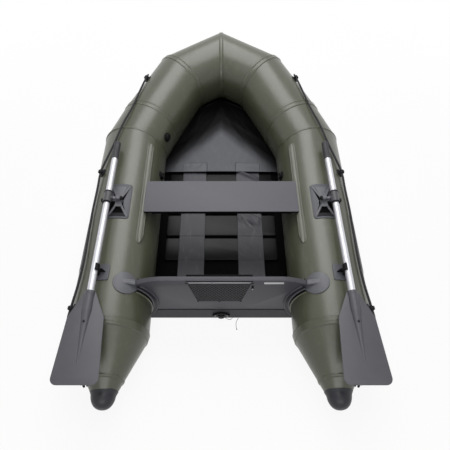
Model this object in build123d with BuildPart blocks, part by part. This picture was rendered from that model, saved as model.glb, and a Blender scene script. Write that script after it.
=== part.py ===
from build123d import *
from math import asin, cos, degrees, hypot, radians, sin, sqrt, tan
import os

os.makedirs("parts", exist_ok=True)

# An inflatable tender. X is starboard, Y is the bow, Z is up, all in mm.
# The origin is on the ground, under the middle of the boat's length and beam.
SIDES = {"port": -1, "starboard": 1}

# Driving sizes of the hull.
boat_length = 2322
beam = 1340
tube_diameter = 352
transom_setback = 479
cone_length = 306
cap_length = 62
cap_radius = 52
cap_edge_radius = 42
cone_tip_height = 142
cone_tip_inset = 6

# The bow is bent from straight gores, whose seams lie in mitre planes.
bow_rise = 122
bow_gore_run = 123
shoulder_gore_run = 340
quarter_gore_run = 188
first_seam_half = 246
first_seam_rise = 81
second_seam_inset = 77
second_seam_rise = 26

tube_radius = tube_diameter / 2
tube_x = (beam - tube_diameter) / 2
stern_y = -boat_length / 2
transom_y = stern_y + transom_setback
cone_seam_y = stern_y + cone_length
cap_seam_y = stern_y + cap_length


def bow_reach():
    """How far the bow seam stands ahead of the tubes' centre line there."""
    run = Vector(first_seam_half, -bow_gore_run, first_seam_rise - bow_rise).normalized()
    along = tube_radius / abs(run.X)
    slope = hypot(run.Y, run.Z)
    return hypot(along * run.Y / slope, tube_radius * run.Z / slope)


bow_y = boat_length / 2 - bow_reach()
first_seam_y = bow_y - bow_gore_run
second_seam_y = first_seam_y - shoulder_gore_run
quarter_y = second_seam_y - quarter_gore_run


def centre_line(side):
    """Seam points of one side tube's centre line, from the stern cone to the bow."""
    return [
        Vector(side * tube_x, cone_seam_y, tube_radius),
        Vector(side * tube_x, quarter_y, tube_radius),
        Vector(side * (tube_x - second_seam_inset), second_seam_y, tube_radius + second_seam_rise),
        Vector(side * first_seam_half, first_seam_y, tube_radius + first_seam_rise),
        Vector(0, bow_y, tube_radius + bow_rise),
    ]


def gore_point(side, gore, share, angle, lift):
    """A point on a gore: its share of the length, degrees up from outboard, height off the skin."""
    points = centre_line(side)
    start, end = points[gore], points[gore + 1]
    along = (end - start).normalized()
    outboard = Vector(along.Y, -along.X, 0).normalized() * side
    upward = outboard.cross(along) * side
    turn = radians(angle)
    return start + (end - start) * share + (outboard * cos(turn) + upward * sin(turn)) * (tube_radius + lift)


def normal_plane(side, y, angle, lift=0):
    """A plane on the side tube's axis or skin: its X runs to the bow, its Z along the skin's normal."""
    out = Vector(side * cos(radians(angle)), 0, sin(radians(angle)))
    base = Vector(side * tube_x, y, tube_radius)
    return Plane(origin=base + out * lift, x_dir=(0, 1, 0), z_dir=out)


def save(sub_part, name):
    sub_part.part.label = name
    export_step(sub_part.part, f"parts/{name}.step")


# Hull tubes


def make_gore(side, gore, radius=tube_radius):
    points = centre_line(side)
    start, end = points[gore], points[gore + 1]
    along = (end - start).normalized()
    seams = [Vector(0, 1, 0)]
    for before, here, after in zip(points, points[1:], points[2:]):
        seams.append(((here - before).normalized() + (after - here).normalized()).normalized())
    seams.append(Vector(-side, 0, 0))
    with BuildPart() as tube:
        with BuildSketch(Plane(origin=start - along * radius, z_dir=along)):
            Circle(radius)
        extrude(amount=(end - start).length + 2 * radius)
        split(bisect_by=Plane(origin=start, z_dir=seams[gore]), keep=Keep.TOP)
        split(bisect_by=Plane(origin=end, z_dir=seams[gore + 1]), keep=Keep.BOTTOM)
    return tube


def make_stern_cone(side):
    with BuildPart() as cone:
        with BuildSketch(Plane(origin=(side * tube_x, cone_seam_y, tube_radius), z_dir=(0, -1, 0))):
            Circle(tube_radius)
        with BuildSketch(Plane(origin=cap_centre(side), z_dir=(0, -1, 0))):
            Circle(cap_radius)
        loft(ruled=True)
    return cone


def cap_centre(side):
    return Vector(side * (tube_x - cone_tip_inset), cap_seam_y, cone_tip_height)


def make_cone_cap(side):
    with BuildPart() as cap:
        with BuildSketch(Plane(origin=cap_centre(side), x_dir=(1, 0, 0), z_dir=(0, 0, 1))):
            with BuildLine():
                Line((0, 0), (cap_radius, 0))
                edge = cap_radius - cap_edge_radius
                flank = Line((cap_radius, 0), (cap_radius, cap_edge_radius - cap_length))
                corner = TangentArc(flank @ 1, (edge, -cap_length), tangent=flank % 1)
                Line(corner @ 1, (0, -cap_length))
                Line((0, -cap_length), (0, 0))
            make_face()
        revolve(axis=Axis(cap_centre(side), (0, 1, 0)))
    return cap


gores = {}
cones = {}
for side_name, side in SIDES.items():
    for gore, gore_name in enumerate(("side_tube", "quarter_tube", "shoulder_tube", "bow_tube")):
        gores[side, gore] = make_gore(side, gore)
        save(gores[side, gore], f"{side_name}_{gore_name}")
    cones[side] = make_stern_cone(side)
    save(cones[side], f"{side_name}_stern_cone")
    save(make_cone_cap(side), f"{side_name}_cone_cap")


# Floor: a bottom sheet, slats on it, two fabric strips over the slats and an apron under the bow
sheet_thickness = 6
sheet_height = 13
floor_margin = 2
slat_depth = 140
slat_gap = 18
slat_thickness = 12
slat_side_clearance = 18
slat_start = 326
last_slat_start = 34
strip_width = 137
strip_centre = 158
strip_thickness = 2
strip_start = 30
apron_thickness = 6
apron_overhang = 42

sheet_top = sheet_height + sheet_thickness
slat_top = sheet_top + slat_thickness
slat_half_length = tube_x - tube_radius - slat_side_clearance
apron_y = quarter_y - apron_overhang


def floor_rise(lift):
    """Points of the floor's line in the YZ plane, rising under the bow as the tubes do."""
    points = [(transom_y, lift)]
    for point in centre_line(1)[1:]:
        points.append((point.Y, point.Z - tube_radius + lift))
    reach = tube_radius
    points.append((bow_y + reach, points[-1][1] + reach * 0.3))
    return points


def extrude_floor(start_y, lift, thickness):
    low = [point for point in floor_rise(lift) if point[0] > start_y]
    low = [(start_y, lift)] + low
    high = [(y, z + thickness) for y, z in reversed(low)]
    with BuildSketch(Plane.YZ) as profile:
        with BuildLine():
            Polyline(*low, *high, close=True)
        make_face()
    extrude(profile.sketch, amount=tube_x, both=True)


def keep_between_tubes(start_y):
    outline = [(point.X, point.Y) for point in centre_line(1)[1:]]
    port = [(-x, y) for x, y in reversed(outline[:-1])]
    with BuildSketch() as plan:
        with BuildLine():
            Polyline((tube_x, start_y), *outline, *port, (-tube_x, start_y), close=True)
        make_face()
    extrude(plan.sketch, amount=tube_diameter * 2, mode=Mode.INTERSECT)
    for gore in gores.values():
        add(gore.part, mode=Mode.SUBTRACT)


with BuildPart() as bottom_sheet:
    extrude_floor(transom_y, sheet_height, sheet_thickness)
    keep_between_tubes(transom_y)
save(bottom_sheet, "bottom_sheet")

with BuildPart() as bow_apron:
    extrude_floor(apron_y, slat_top + strip_thickness, apron_thickness)
    keep_between_tubes(apron_y)
save(bow_apron, "bow_apron")

with BuildPart() as floor_slats:
    slat_centres = [transom_y + last_slat_start + slat_depth / 2]
    y = transom_y + slat_start + slat_depth / 2
    while y + slat_depth / 2 < quarter_y:
        slat_centres.append(y)
        y += slat_depth + slat_gap
    with Locations(*[(0, y, sheet_top + slat_thickness / 2) for y in slat_centres]):
        Box(2 * slat_half_length, slat_depth, slat_thickness)
save(floor_slats, "floor_slats")

for side_name, side in SIDES.items():
    strip_length = apron_y - transom_y - strip_start
    with BuildPart() as floor_strip:
        with Locations((side * strip_centre, apron_y - strip_length / 2, slat_top + strip_thickness / 2)):
            Box(strip_width, strip_length, strip_thickness)
    save(floor_strip, f"{side_name}_floor_strip")


# Transom: a plywood board held between the tubes by a rubber channel on each side
board_thickness = 24
board_top = 360
board_lift = 2
board_shoulder = 112
ear_depth = 21
ear_seat = 2
tongue_rise = 8
tongue_run = 7
channel_skin = 5
channel_lip = 26
channel_wall = 6
channel_gap = 3
channel_lift = 3.2
holder_width = 72
round_pad_radius = 53
round_pad_angle = 116

# The board's ends rest on the round pads' lower edges, and the channels run from there to the floor.
board_bottom = sheet_top + board_lift
channel_radius = tube_radius + channel_skin
round_pad_edge = round_pad_angle + degrees(asin(round_pad_radius / channel_radius))
ear_angle = round_pad_edge - degrees(ear_seat / channel_radius)
ear_x = tube_x + channel_radius * cos(radians(ear_angle))
ear_bottom = tube_radius + channel_radius * sin(radians(ear_angle))
ear_top = ear_bottom + ear_depth
channel_start = round_pad_edge + degrees(channel_gap / channel_radius)
channel_end = 180 + degrees(asin((tube_radius - sheet_top - channel_lift) / (channel_radius + channel_lip)))
board_flat = ear_x - board_shoulder


def tube_section(side, y):
    """Across a side tube: X runs outboard from its axis and Y runs up."""
    return Plane(origin=(side * tube_x, y, tube_radius), x_dir=(side, 0, 0), z_dir=(0, -side, 0))


def tube_ring(side, middle_y, length, inner, outer, start=0, end=360):
    """A band round the side tube between two radii, from one angle up from outboard to another."""
    reach = 4 * outer
    middle = (start + end) / 2
    with BuildSketch(tube_section(side, middle_y)) as ring:
        Circle(outer)
        Circle(inner, mode=Mode.SUBTRACT)
        if end - start < 360:
            with BuildLine():
                turns = [radians(turn) for turn in (start, middle, end)]
                Polyline((0, 0), *[(reach * cos(turn), reach * sin(turn)) for turn in turns], close=True)
            make_face(mode=Mode.INTERSECT)
    extrude(ring.sketch, amount=length / 2, both=True)


with BuildPart() as transom_board:
    with BuildSketch(Plane(origin=(0, transom_y, 0), x_dir=(-1, 0, 0), z_dir=(0, 1, 0))):
        with BuildLine():
            for side in SIDES.values():
                Line((0, board_top), (side * board_flat, board_top))
                Spline(
                    (side * board_flat, board_top),
                    (side * ear_x, ear_top),
                    tangents=[(side, 0), (side, -0.1)],
                )
                Line((side * ear_x, ear_top), (side * ear_x, board_bottom))
                Line((side * ear_x, board_bottom), (0, board_bottom))
        make_face()
        for side in SIDES.values():
            with Locations((side * tube_x, tube_radius)):
                Circle(channel_radius, mode=Mode.SUBTRACT)
    extrude(amount=board_thickness)
save(transom_board, "transom_board")

# The bottom sheet's hem runs up the board's aft face
skirt_top = 97
skirt_thickness = 2

with BuildPart() as transom_skirt:
    with BuildSketch(Plane(origin=(0, transom_y, 0), x_dir=(1, 0, 0), z_dir=(0, -1, 0))):
        with BuildLine():
            Polyline(
                (-ear_x, sheet_height),
                (ear_x, sheet_height),
                (ear_x, skirt_top),
                (-ear_x, skirt_top),
                close=True,
            )
        make_face()
        for side in SIDES.values():
            with Locations((side * tube_x, tube_radius)):
                Circle(channel_radius + channel_lip, mode=Mode.SUBTRACT)
    extrude(amount=skirt_thickness)
save(transom_skirt, "transom_skirt")

# Motor pads, one on each face of the board
pad_middle = -8
pad_top = 355
pad_bottom = 181
pad_top_half = 143
pad_bottom_half = 103
outer_pad_thickness = 7
inner_pad_thickness = 9
pad_corner = 6
pad_bevel = 1.5


def make_motor_pad(face_y, direction, thickness):
    with BuildPart() as pad:
        face = Plane(origin=(pad_middle, face_y, 0), x_dir=(-direction, 0, 0), z_dir=(0, direction, 0))
        with BuildSketch(face):
            with BuildLine():
                Polyline(
                    (-pad_top_half, pad_top),
                    (pad_top_half, pad_top),
                    (pad_bottom_half, pad_bottom),
                    (-pad_bottom_half, pad_bottom),
                    close=True,
                )
            make_face()
            fillet(vertices(), radius=pad_corner)
        extrude(amount=thickness)
        chamfer(faces().sort_by(Axis.Y)[-1 if direction > 0 else 0].edges(), length=pad_bevel)
    return pad


save(make_motor_pad(transom_y, -1, outer_pad_thickness), "motor_pad_outer")
save(make_motor_pad(transom_y + board_thickness, 1, inner_pad_thickness), "motor_pad_inner")


def make_transom_holder(side):
    """Rubber channel glued to the tube, whose two lips hold the board's edge."""
    lip_ys = (transom_y - channel_wall / 2, transom_y + board_thickness + channel_wall / 2)
    lip_radius = channel_radius + channel_lip
    with BuildPart() as holder:
        tube_ring(
            side, transom_y + board_thickness / 2, holder_width,
            tube_radius, channel_radius, channel_start, channel_end,
        )
        for lip_y in lip_ys:
            tube_ring(side, lip_y, channel_wall, tube_radius, lip_radius, channel_start, channel_end)
    return holder


def make_round_ear(side):
    """A round pad on the tube with a tongue that carries on the board's top edge."""
    def beside(reach, angle):
        return (reach * cos(radians(angle)), reach * sin(radians(angle)))

    with BuildPart() as ear:
        tube_ring(side, transom_y, 2 * round_pad_radius, tube_radius, channel_radius)
        with BuildSketch(normal_plane(side, transom_y, round_pad_angle)):
            Circle(round_pad_radius)
        extrude(amount=2 * tube_radius, mode=Mode.INTERSECT)
        with BuildSketch(tube_section(side, transom_y + board_thickness / 2)) as tongue:
            with BuildLine():
                Polyline(
                    (ear_x - tube_x, ear_bottom - tube_radius),
                    (ear_x - tube_x, ear_top - tube_radius),
                    beside(channel_radius + tongue_rise, round_pad_angle),
                    beside(channel_radius, round_pad_angle - tongue_run),
                    beside(tube_radius - channel_skin, round_pad_angle),
                    close=True,
                )
            make_face()
        extrude(tongue.sketch, amount=board_thickness / 2, both=True)
        add(gores[side, 0].part, mode=Mode.SUBTRACT)
        add(transom_board.part, mode=Mode.SUBTRACT)
    return ear


for side_name, side in SIDES.items():
    save(make_transom_holder(side), f"{side_name}_transom_holder")
    save(make_round_ear(side), f"{side_name}_transom_ear")

# Drain valve in the foot of the transom
drain_height = 46
drain_half = 40
drain_radius = 17
drain_flange = 4
drain_cap = 11
drain_margin = 3
drain_bevel = 2

with BuildPart() as drain_valve:
    skirt_face = (0, transom_y - skirt_thickness, drain_height)
    with BuildSketch(Plane(origin=skirt_face, x_dir=(1, 0, 0), z_dir=(0, -1, 0))):
        SlotOverall(2 * drain_half, 2 * (drain_radius + drain_margin))
    extrude(amount=drain_flange)
save(drain_valve, "drain_valve")

with BuildPart() as drain_plug:
    plug_y = transom_y - skirt_thickness - drain_flange
    with BuildSketch(Plane(origin=(0, plug_y, drain_height), x_dir=(1, 0, 0), z_dir=(0, -1, 0))):
        Circle(drain_radius)
    extrude(amount=drain_cap)
    chamfer(edges().sort_by(Axis.Y)[0], length=drain_bevel)
save(drain_plug, "drain_plug")

# Seat rails: a rubber keder on each tube, a bead on a fin, with the bench hung from it
rail_start = 231
rail_stop = 95
rail_angle = 128
rail_fin = 3
rail_bead = 4
rail_reach = 19
fin_angle = 165
rail_taper = 40
rail_flap = 2
rail_flap_half = 14
rail_start_y = transom_y + rail_start
rail_end_y = quarter_y - rail_stop


def rail_plane(side, y, angle):
    """On the tube's skin at the rail, looking along the boat: X leaves it at an angle up from outboard."""
    skin = normal_plane(side, y, rail_angle, tube_radius)
    out = (side * cos(radians(angle)), 0, sin(radians(angle)))
    return Plane(origin=skin.origin, x_dir=out, z_dir=(0, 1, 0))


def make_seat_rail(side):
    length = rail_end_y - rail_start_y
    with BuildPart() as rail:
        with BuildSketch(rail_plane(side, rail_start_y, fin_angle)):
            Rectangle(2 * rail_reach, rail_fin)
            with Locations((rail_reach, 0)):
                Circle(rail_bead)
        extrude(amount=length)
        with BuildSketch(rail_plane(side, rail_start_y, rail_angle)):
            Rectangle(2 * rail_flap, 2 * rail_flap_half)
        extrude(amount=length)
        fin = rail_plane(side, 0, fin_angle)
        with BuildSketch(Plane(origin=fin.origin, x_dir=(0, 1, 0), z_dir=fin.y_dir)):
            top = rail_reach + rail_bead + 1
            for end_y, inward in ((rail_start_y, 1), (rail_end_y, -1)):
                with BuildLine():
                    Polyline(
                        (end_y - inward, -rail_flap),
                        (end_y - inward, -top),
                        (end_y + inward * rail_taper, -top),
                        close=True,
                    )
                make_face()
        extrude(amount=rail_flap_half * 2, both=True, mode=Mode.SUBTRACT)
        add(gores[side, 0].part, mode=Mode.SUBTRACT)
    return rail


for side_name, side in SIDES.items():
    save(make_seat_rail(side), f"{side_name}_seat_rail")

# Bench: a board with an aluminium runner under each end, closed round the rail's bead
bench_centre = 497
bench_depth = 198
bench_thickness = 12
bench_rise = 10.4
bench_corner = 8
bench_bevel = 2
batten_width = 20
batten_drop = 7
batten_gap = 1
runner_inset = 8
runner_clearance = 0.3
runner_wall = 3
runner_mouth = 4.4
runner_web = 30

bench_y = transom_y + bench_centre
bench_bead = rail_plane(1, bench_y, fin_angle).from_local_coords(Vector(rail_reach, 0, 0))
bench_bottom = bench_bead.Z + bench_rise
bench_half_length = bench_bead.X + rail_bead + runner_clearance + runner_wall
batten_half_length = bench_bead.X - runner_web - batten_gap

with BuildPart() as bench_board:
    with BuildSketch(Plane.XY.offset(bench_bottom)):
        with Locations((0, bench_y)):
            RectangleRounded(2 * bench_half_length, bench_depth, bench_corner)
    extrude(amount=bench_thickness)
    chamfer(edges().group_by(Axis.Z)[-1], length=bench_bevel)
    with BuildSketch(Plane.XY.offset(bench_bottom)):
        with Locations(*[(0, bench_y + end * (bench_depth - batten_width) / 2) for end in (-1, 1)]):
            Rectangle(2 * batten_half_length, batten_width)
    extrude(amount=-batten_drop)
save(bench_board, "bench_board")


def make_bench_runner(side):
    start_y = bench_y - bench_depth / 2 + runner_inset
    length = bench_depth - 2 * runner_inset
    plane = rail_plane(side, start_y, fin_angle)
    bead = plane.from_local_coords(Vector(rail_reach, 0, 0))
    bore = rail_bead + runner_clearance
    with BuildPart() as runner:
        with BuildSketch(Plane(origin=(bead.X, start_y, bead.Z), x_dir=(side, 0, 0), z_dir=(0, 1, 0))):
            Circle(bore + runner_wall)
            rise = bench_bottom - bead.Z
            with BuildLine():
                Polyline(
                    (-runner_web, -side * rise),
                    (bore, -side * rise),
                    (bore, 0),
                    (-bore - runner_wall, 0),
                    (-bore - runner_wall, -side * (rise - runner_wall)),
                    (-runner_web, -side * (rise - runner_wall)),
                    close=True,
                )
            make_face()
            Circle(bore, mode=Mode.SUBTRACT)
        extrude(amount=length)
        with BuildSketch(plane):
            Rectangle(2 * rail_reach, runner_mouth)
        extrude(amount=length, mode=Mode.SUBTRACT)
    return runner


for side_name, side in SIDES.items():
    save(make_bench_runner(side), f"{side_name}_bench_runner")

# Oarlocks, each on a moulded base on the crown of the tube
oarlock_centre = 447
pad_ahead = 9
pad_skin = 4
oarlock_pad_width = 110
oarlock_pad_length = 215
oarlock_pad_corner = 16
arm_inset = 9
arm_thickness = 9
arm_foot = 2
boss_radius = 17
boss_slope = 12
seat_rise = 19
pin_rise = 33
pin_radius = 6.5
stud_radius = 6
stud_height = 8
bore_clearance = 0.05
head_radius = 13
head_gap = 0.3
head_bevel = 3
oar_offset = 49
shaft_radius = 15
collar_radius = 19.5
collar_length = 71
knob_radius = 10
knob_reach = 8
lug_radius = 9
lug_reach = 4
knob_aft = 8
knob_drop = 9
head_cover = 9

oarlock_y = transom_y + oarlock_centre
oarlock_pad_y = oarlock_y + pad_ahead
crown = tube_diameter
pin_z = crown + pin_rise
oar_x = tube_x + oar_offset


def wrapped_pad(side, y, angle, width, length, thickness, corner):
    tube_ring(side, y, length + 2, tube_radius, tube_radius + thickness)
    with BuildSketch(normal_plane(side, y, angle)) as outline:
        RectangleRounded(length, width, corner)
    extrude(outline.sketch, amount=2 * tube_radius, mode=Mode.INTERSECT)


def make_oarlock_base(side):
    """A boss on four arms that run down to the pad's corners, with the head's stud on top."""
    seat_z = crown + seat_rise
    with BuildPart() as base:
        with BuildSketch(Plane(origin=(side * tube_x, oarlock_y, tube_radius))):
            Circle(boss_radius)
        extrude(amount=seat_z - tube_radius)
        for across in (-1, 1):
            for ahead in (-1, 1):
                corner_x = across * (oarlock_pad_width / 2 - arm_inset)
                corner_y = oarlock_pad_y + ahead * (oarlock_pad_length / 2 - arm_inset) - oarlock_y
                reach = hypot(corner_x, corner_y)
                foot_z = tube_radius + sqrt((tube_radius + pad_skin) ** 2 - corner_x**2) + arm_foot
                out = Vector(corner_x, corner_y, 0)
                foot = Vector(side * tube_x, oarlock_y, 0)
                middle = Plane(origin=foot, x_dir=out, z_dir=out.cross(Vector(0, 0, 1)))
                with BuildSketch(middle.offset(-arm_thickness / 2)) as arm:
                    with BuildLine():
                        Polyline(
                            (boss_radius / 2, seat_z - boss_slope / 4),
                            (boss_radius, seat_z - boss_slope / 2),
                            (2 * boss_radius, seat_z - boss_slope),
                            (reach, foot_z),
                            (reach, tube_radius),
                            (boss_radius / 2, tube_radius),
                            close=True,
                        )
                    make_face()
                extrude(arm.sketch, amount=arm_thickness)
        length = 2 * oarlock_pad_length
        with BuildSketch(Plane(origin=(side * tube_x, oarlock_y - length / 2, tube_radius), z_dir=(0, 1, 0))):
            Circle(tube_radius + pad_skin)
        extrude(amount=length, mode=Mode.SUBTRACT)
        with BuildSketch(Plane(origin=(side * tube_x, oarlock_y, seat_z))):
            Circle(stud_radius)
        extrude(amount=stud_height)
    return base


def make_oarlock_pad(side):
    with BuildPart() as pad:
        width, length = oarlock_pad_width, oarlock_pad_length
        wrapped_pad(side, oarlock_pad_y, 90, width, length, pad_skin, oarlock_pad_corner)
    return pad


def make_oarlock_head(side):
    """Turns on the base's stud and carries the pin that the oar's collar is threaded on."""
    foot_z = crown + seat_rise + head_gap
    with BuildPart() as head:
        with BuildSketch(Plane(origin=(side * tube_x, oarlock_y, foot_z))):
            Circle(head_radius)
        extrude(amount=pin_z + head_cover - foot_z)
        chamfer(edges().group_by(Axis.Z)[-1], length=head_bevel)
        with BuildSketch(Plane.YZ.offset(side * tube_x)):
            with Locations((oarlock_y, pin_z)):
                Circle(pin_radius)
        extrude(amount=side * (oar_offset - collar_radius - lug_reach))
        with BuildSketch(Plane.YZ.offset(side * tube_x)):
            with Locations((oarlock_y, pin_z)):
                Circle(knob_radius)
        extrude(amount=-side * (head_radius + knob_reach))
        with BuildSketch(Plane(origin=(side * tube_x, oarlock_y, foot_z))):
            Circle(stud_radius + bore_clearance)
        extrude(amount=stud_height + head_gap, mode=Mode.SUBTRACT)
    return head


# Oars lie along the tubes, held in their oarlocks and clips
grip_end = 829
grip_joint = 705
shaft_end = -72
blade_end = -458
grip_radius = 17
neck_half = 24
shoulder_drop = 112
shoulder_half = 74
blade_half = 90
blade_thickness = 6
blade_corner = 26
blade_root = 4
socket_radius = 20
spine_end = 330
spine_radius = 3.2
grip_round = 7


def along_oar(side, y):
    return Plane(origin=(side * oar_x, y, pin_z), x_dir=(1, 0, 0), z_dir=(0, -1, 0))


def make_oar_shaft(side):
    with BuildPart() as shaft:
        with BuildSketch(along_oar(side, transom_y + grip_joint)):
            Circle(shaft_radius)
        extrude(amount=grip_joint - shaft_end)
    return shaft


def make_oar_grip(side):
    with BuildPart() as grip:
        with BuildSketch(along_oar(side, transom_y + grip_end)):
            Circle(grip_radius)
        extrude(amount=grip_end - grip_joint)
        fillet(edges().sort_by(Axis.Y)[-1], radius=grip_round)
    return grip


def make_oar_collar(side):
    """A sleeve on the shaft, with a lug for the pin inboard and a clamp knob outboard."""
    with BuildPart() as collar:
        with BuildSketch(along_oar(side, oarlock_y + collar_length / 2)):
            Circle(collar_radius)
        extrude(amount=collar_length)
        with BuildSketch(Plane.YZ.offset(side * oar_x)):
            with Locations((oarlock_y, pin_z)):
                Circle(lug_radius)
        extrude(amount=-side * (collar_radius + lug_reach))
        with BuildSketch(Plane.YZ.offset(side * oar_x)):
            with Locations((oarlock_y - knob_aft, pin_z - knob_drop)):
                Circle(knob_radius)
        extrude(amount=side * (collar_radius + knob_reach))
        with BuildSketch(along_oar(side, oarlock_y + collar_length / 2 + 1)):
            Circle(shaft_radius)
        extrude(amount=collar_length + 2, mode=Mode.SUBTRACT)
    return collar


def make_oar_blade(side):
    root_y = transom_y + shaft_end
    tip_y = transom_y + blade_end
    with BuildPart() as blade:
        with BuildSketch(Plane(origin=(side * oar_x, 0, pin_z - blade_thickness / 2))):
            with BuildLine():
                Polyline(
                    (-neck_half, root_y - blade_root),
                    (neck_half, root_y - blade_root),
                    (shoulder_half, root_y - shoulder_drop),
                    (blade_half, tip_y),
                    (-blade_half, tip_y),
                    (-shoulder_half, root_y - shoulder_drop),
                    close=True,
                )
            make_face()
            fillet(vertices().group_by(Axis.Y)[0], radius=blade_corner)
        extrude(amount=blade_thickness)
        with BuildSketch(along_oar(side, root_y)):
            Circle(socket_radius)
        with BuildSketch(along_oar(side, root_y - spine_end)):
            Circle(spine_radius)
        loft()
    return blade


for side_name, side in SIDES.items():
    save(make_oarlock_pad(side), f"{side_name}_oarlock_pad")
    save(make_oarlock_base(side), f"{side_name}_oarlock_base")
    save(make_oarlock_head(side), f"{side_name}_oarlock_head")
    save(make_oar_shaft(side), f"{side_name}_oar_shaft")
    save(make_oar_grip(side), f"{side_name}_oar_grip")
    save(make_oar_collar(side), f"{side_name}_oar_collar")
    save(make_oar_blade(side), f"{side_name}_oar_blade")

# Oar clips: a pad on the tube and a hook that holds the shaft from inboard
clip_centre = 50
clip_pad_width = 80
clip_pad_length = 81
clip_angle = 79.5
clip_clearance = 1.5
clip_wall = 4.5
clip_length = 34
clip_foot = 24
clip_mouth = (-75, -45, 45, 105)
clip_pad_corner = 10


def make_oar_clip(side):
    middle = transom_y + clip_centre
    bore = shaft_radius + clip_clearance
    reach = 4 * bore
    with BuildPart() as clip:
        wrapped_pad(side, middle, clip_angle, clip_pad_width, clip_pad_length, pad_skin, clip_pad_corner)
        across = Plane(origin=(side * oar_x, middle, pin_z), x_dir=(side, 0, 0), z_dir=(0, -side, 0))
        with BuildSketch(across) as hook:
            Circle(bore + clip_wall)
            with BuildLine():
                turns = [radians(turn) for turn in clip_mouth]
                Polyline((0, 0), *[(reach * cos(turn), reach * sin(turn)) for turn in turns], close=True)
            make_face(mode=Mode.SUBTRACT)
            with Locations((-clip_wall, -reach / 2)):
                Rectangle(clip_foot, reach)
            Circle(bore, mode=Mode.SUBTRACT)
        extrude(amount=clip_length / 2, both=True)
        add(gores[side, 0].part, mode=Mode.SUBTRACT)
    return clip


for side_name, side in SIDES.items():
    save(make_oar_clip(side), f"{side_name}_oar_clip")

# Grab lines run along the tubes through eyes glued to them
rope_radius = 5.5
rope_lift = 9.5
eye_lift = 14
eye_clearance = 1.5
eye_wall = 5
eye_side = 6
eye_length = 16
eye_corner = 3
eye_pad_radius = 23
eye_pad_skin = 4
eye_bore = rope_radius + eye_clearance
eye_rise = eye_lift + eye_bore + eye_wall
eye_width = 2 * (eye_bore + eye_side)
guide_two = 690
guide_three = 78


def gore_plane(side, gore, share, angle):
    """On a gore's skin: X runs along the gore to the bow and Z along the skin's normal."""
    points = centre_line(side)
    along = (points[gore + 1] - points[gore]).normalized()
    low = gore_point(side, gore, share, angle, 0)
    return Plane(origin=low, x_dir=along, z_dir=gore_point(side, gore, share, angle, 1) - low)


def cone_point(side, share, angle, lift):
    """A point on the stern cone, from its seam to its cap."""
    centre = Vector(side * tube_x, cone_seam_y, tube_radius)
    centre += (cap_centre(side) - centre) * share
    reach = tube_radius + (cap_radius - tube_radius) * share + lift
    return centre + Vector(side * cos(radians(angle)), 0, sin(radians(angle))) * reach


def cone_plane(side, share, angle):
    """On the cone's skin, with Z along the normal and X towards the bow."""
    low = cone_point(side, share, angle, 0)
    ahead = cone_point(side, share - 0.05, angle, 0) - low
    across = cone_point(side, share, angle + 1, 0) - low
    return Plane(origin=low, x_dir=ahead, z_dir=ahead.cross(across) * side)


def side_share(y):
    return (y - cone_seam_y) / (quarter_y - cone_seam_y)


def guide_planes(side):
    """The four eyes of a grab line, turned to follow it, and the tube that each is glued to."""
    route = rope_route(side)
    seats = [
        (gore_plane(side, 2, 0.56, 45), gores[side, 2], route[0] - route[1]),
        (gore_plane(side, 0, side_share(transom_y + guide_two), 45), gores[side, 0], route[6] - route[8]),
        (gore_plane(side, 0, side_share(cone_seam_y + guide_three), 38), gores[side, 0], route[12] - route[14]),
        (cone_plane(side, 0.8, 11), cones[side], route[16] - route[18]),
    ]
    return [(Plane(origin=seat.origin, x_dir=run, z_dir=seat.z_dir), tube) for seat, tube, run in seats]


def make_line_guides(side):
    with BuildPart() as guides:
        for plane, tube in guide_planes(side):
            with BuildSketch(plane.offset(-eye_pad_skin)) as disc:
                Circle(eye_pad_radius)
            extrude(disc.sketch, amount=2 * eye_pad_skin)
            with BuildSketch(plane) as loop:
                RectangleRounded(eye_length, eye_width, eye_corner)
            extrude(loop.sketch, amount=eye_rise)
            middle = plane.from_local_coords((0, 0, eye_lift))
            with BuildSketch(Plane(origin=middle, x_dir=plane.y_dir, z_dir=plane.x_dir)) as bore:
                Circle(eye_bore)
            extrude(bore.sketch, amount=eye_length, both=True, mode=Mode.SUBTRACT)
            add(tube.part, mode=Mode.SUBTRACT)
    return guides


def rope_route(side):
    """Points of a grab line from its bow eye to its last eye on the cone."""
    def at(gore, share, angle, lift=rope_lift):
        return gore_point(side, gore, share, angle, lift)

    def beside(y, angle, lift=rope_lift):
        return at(0, side_share(y), angle, lift)

    return [
        at(2, 0.66, 40, eye_lift),
        at(2, 0.50, 48, eye_lift),
        at(2, 0.22, 59),
        at(1, 0.70, 71),
        at(1, 0.10, 74, rope_lift + 4),
        beside(transom_y + 890, 66),
        beside(transom_y + 785, 55),
        beside(transom_y + guide_two, 43.9, eye_lift + 0.8),
        beside(transom_y + 585, 43),
        beside(transom_y + 440, 41),
        beside(transom_y + 290, 44),
        beside(transom_y + 140, 47),
        beside(cone_seam_y + 188, 44),
        beside(cone_seam_y + guide_three, 38, eye_lift),
        beside(cone_seam_y + 13, 35, rope_lift + 6),
        cone_point(side, 0.25, 30, rope_lift + 2),
        cone_point(side, 0.52, 21, rope_lift + 2),
        cone_point(side, 0.76, 13, eye_lift + 1.5),
        cone_point(side, 0.9, 9, eye_lift + 1.5),
    ]


def sweep_cord(points, radius):
    """A round cord of straight runs and tangent arcs, each as large as its two runs allow."""
    radii = []
    for before, here, after in zip(points, points[1:], points[2:]):
        turn = radians((here - before).get_angle(after - here))
        shorter = min((here - before).length, (after - here).length)
        radii.append(round(0.45 * shorter / tan(turn / 2), 2))
    with BuildPart() as cord:
        with BuildLine() as route:
            FilletPolyline(*points, radius=radii)
        with BuildSketch(Plane(origin=route.line @ 0, z_dir=route.line % 0)):
            Circle(radius)
        sweep(path=route.line)
    return cord


for side_name, side in SIDES.items():
    save(make_line_guides(side), f"{side_name}_line_guides")
    save(sweep_cord(rope_route(side), rope_radius), f"{side_name}_grab_line")

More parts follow.
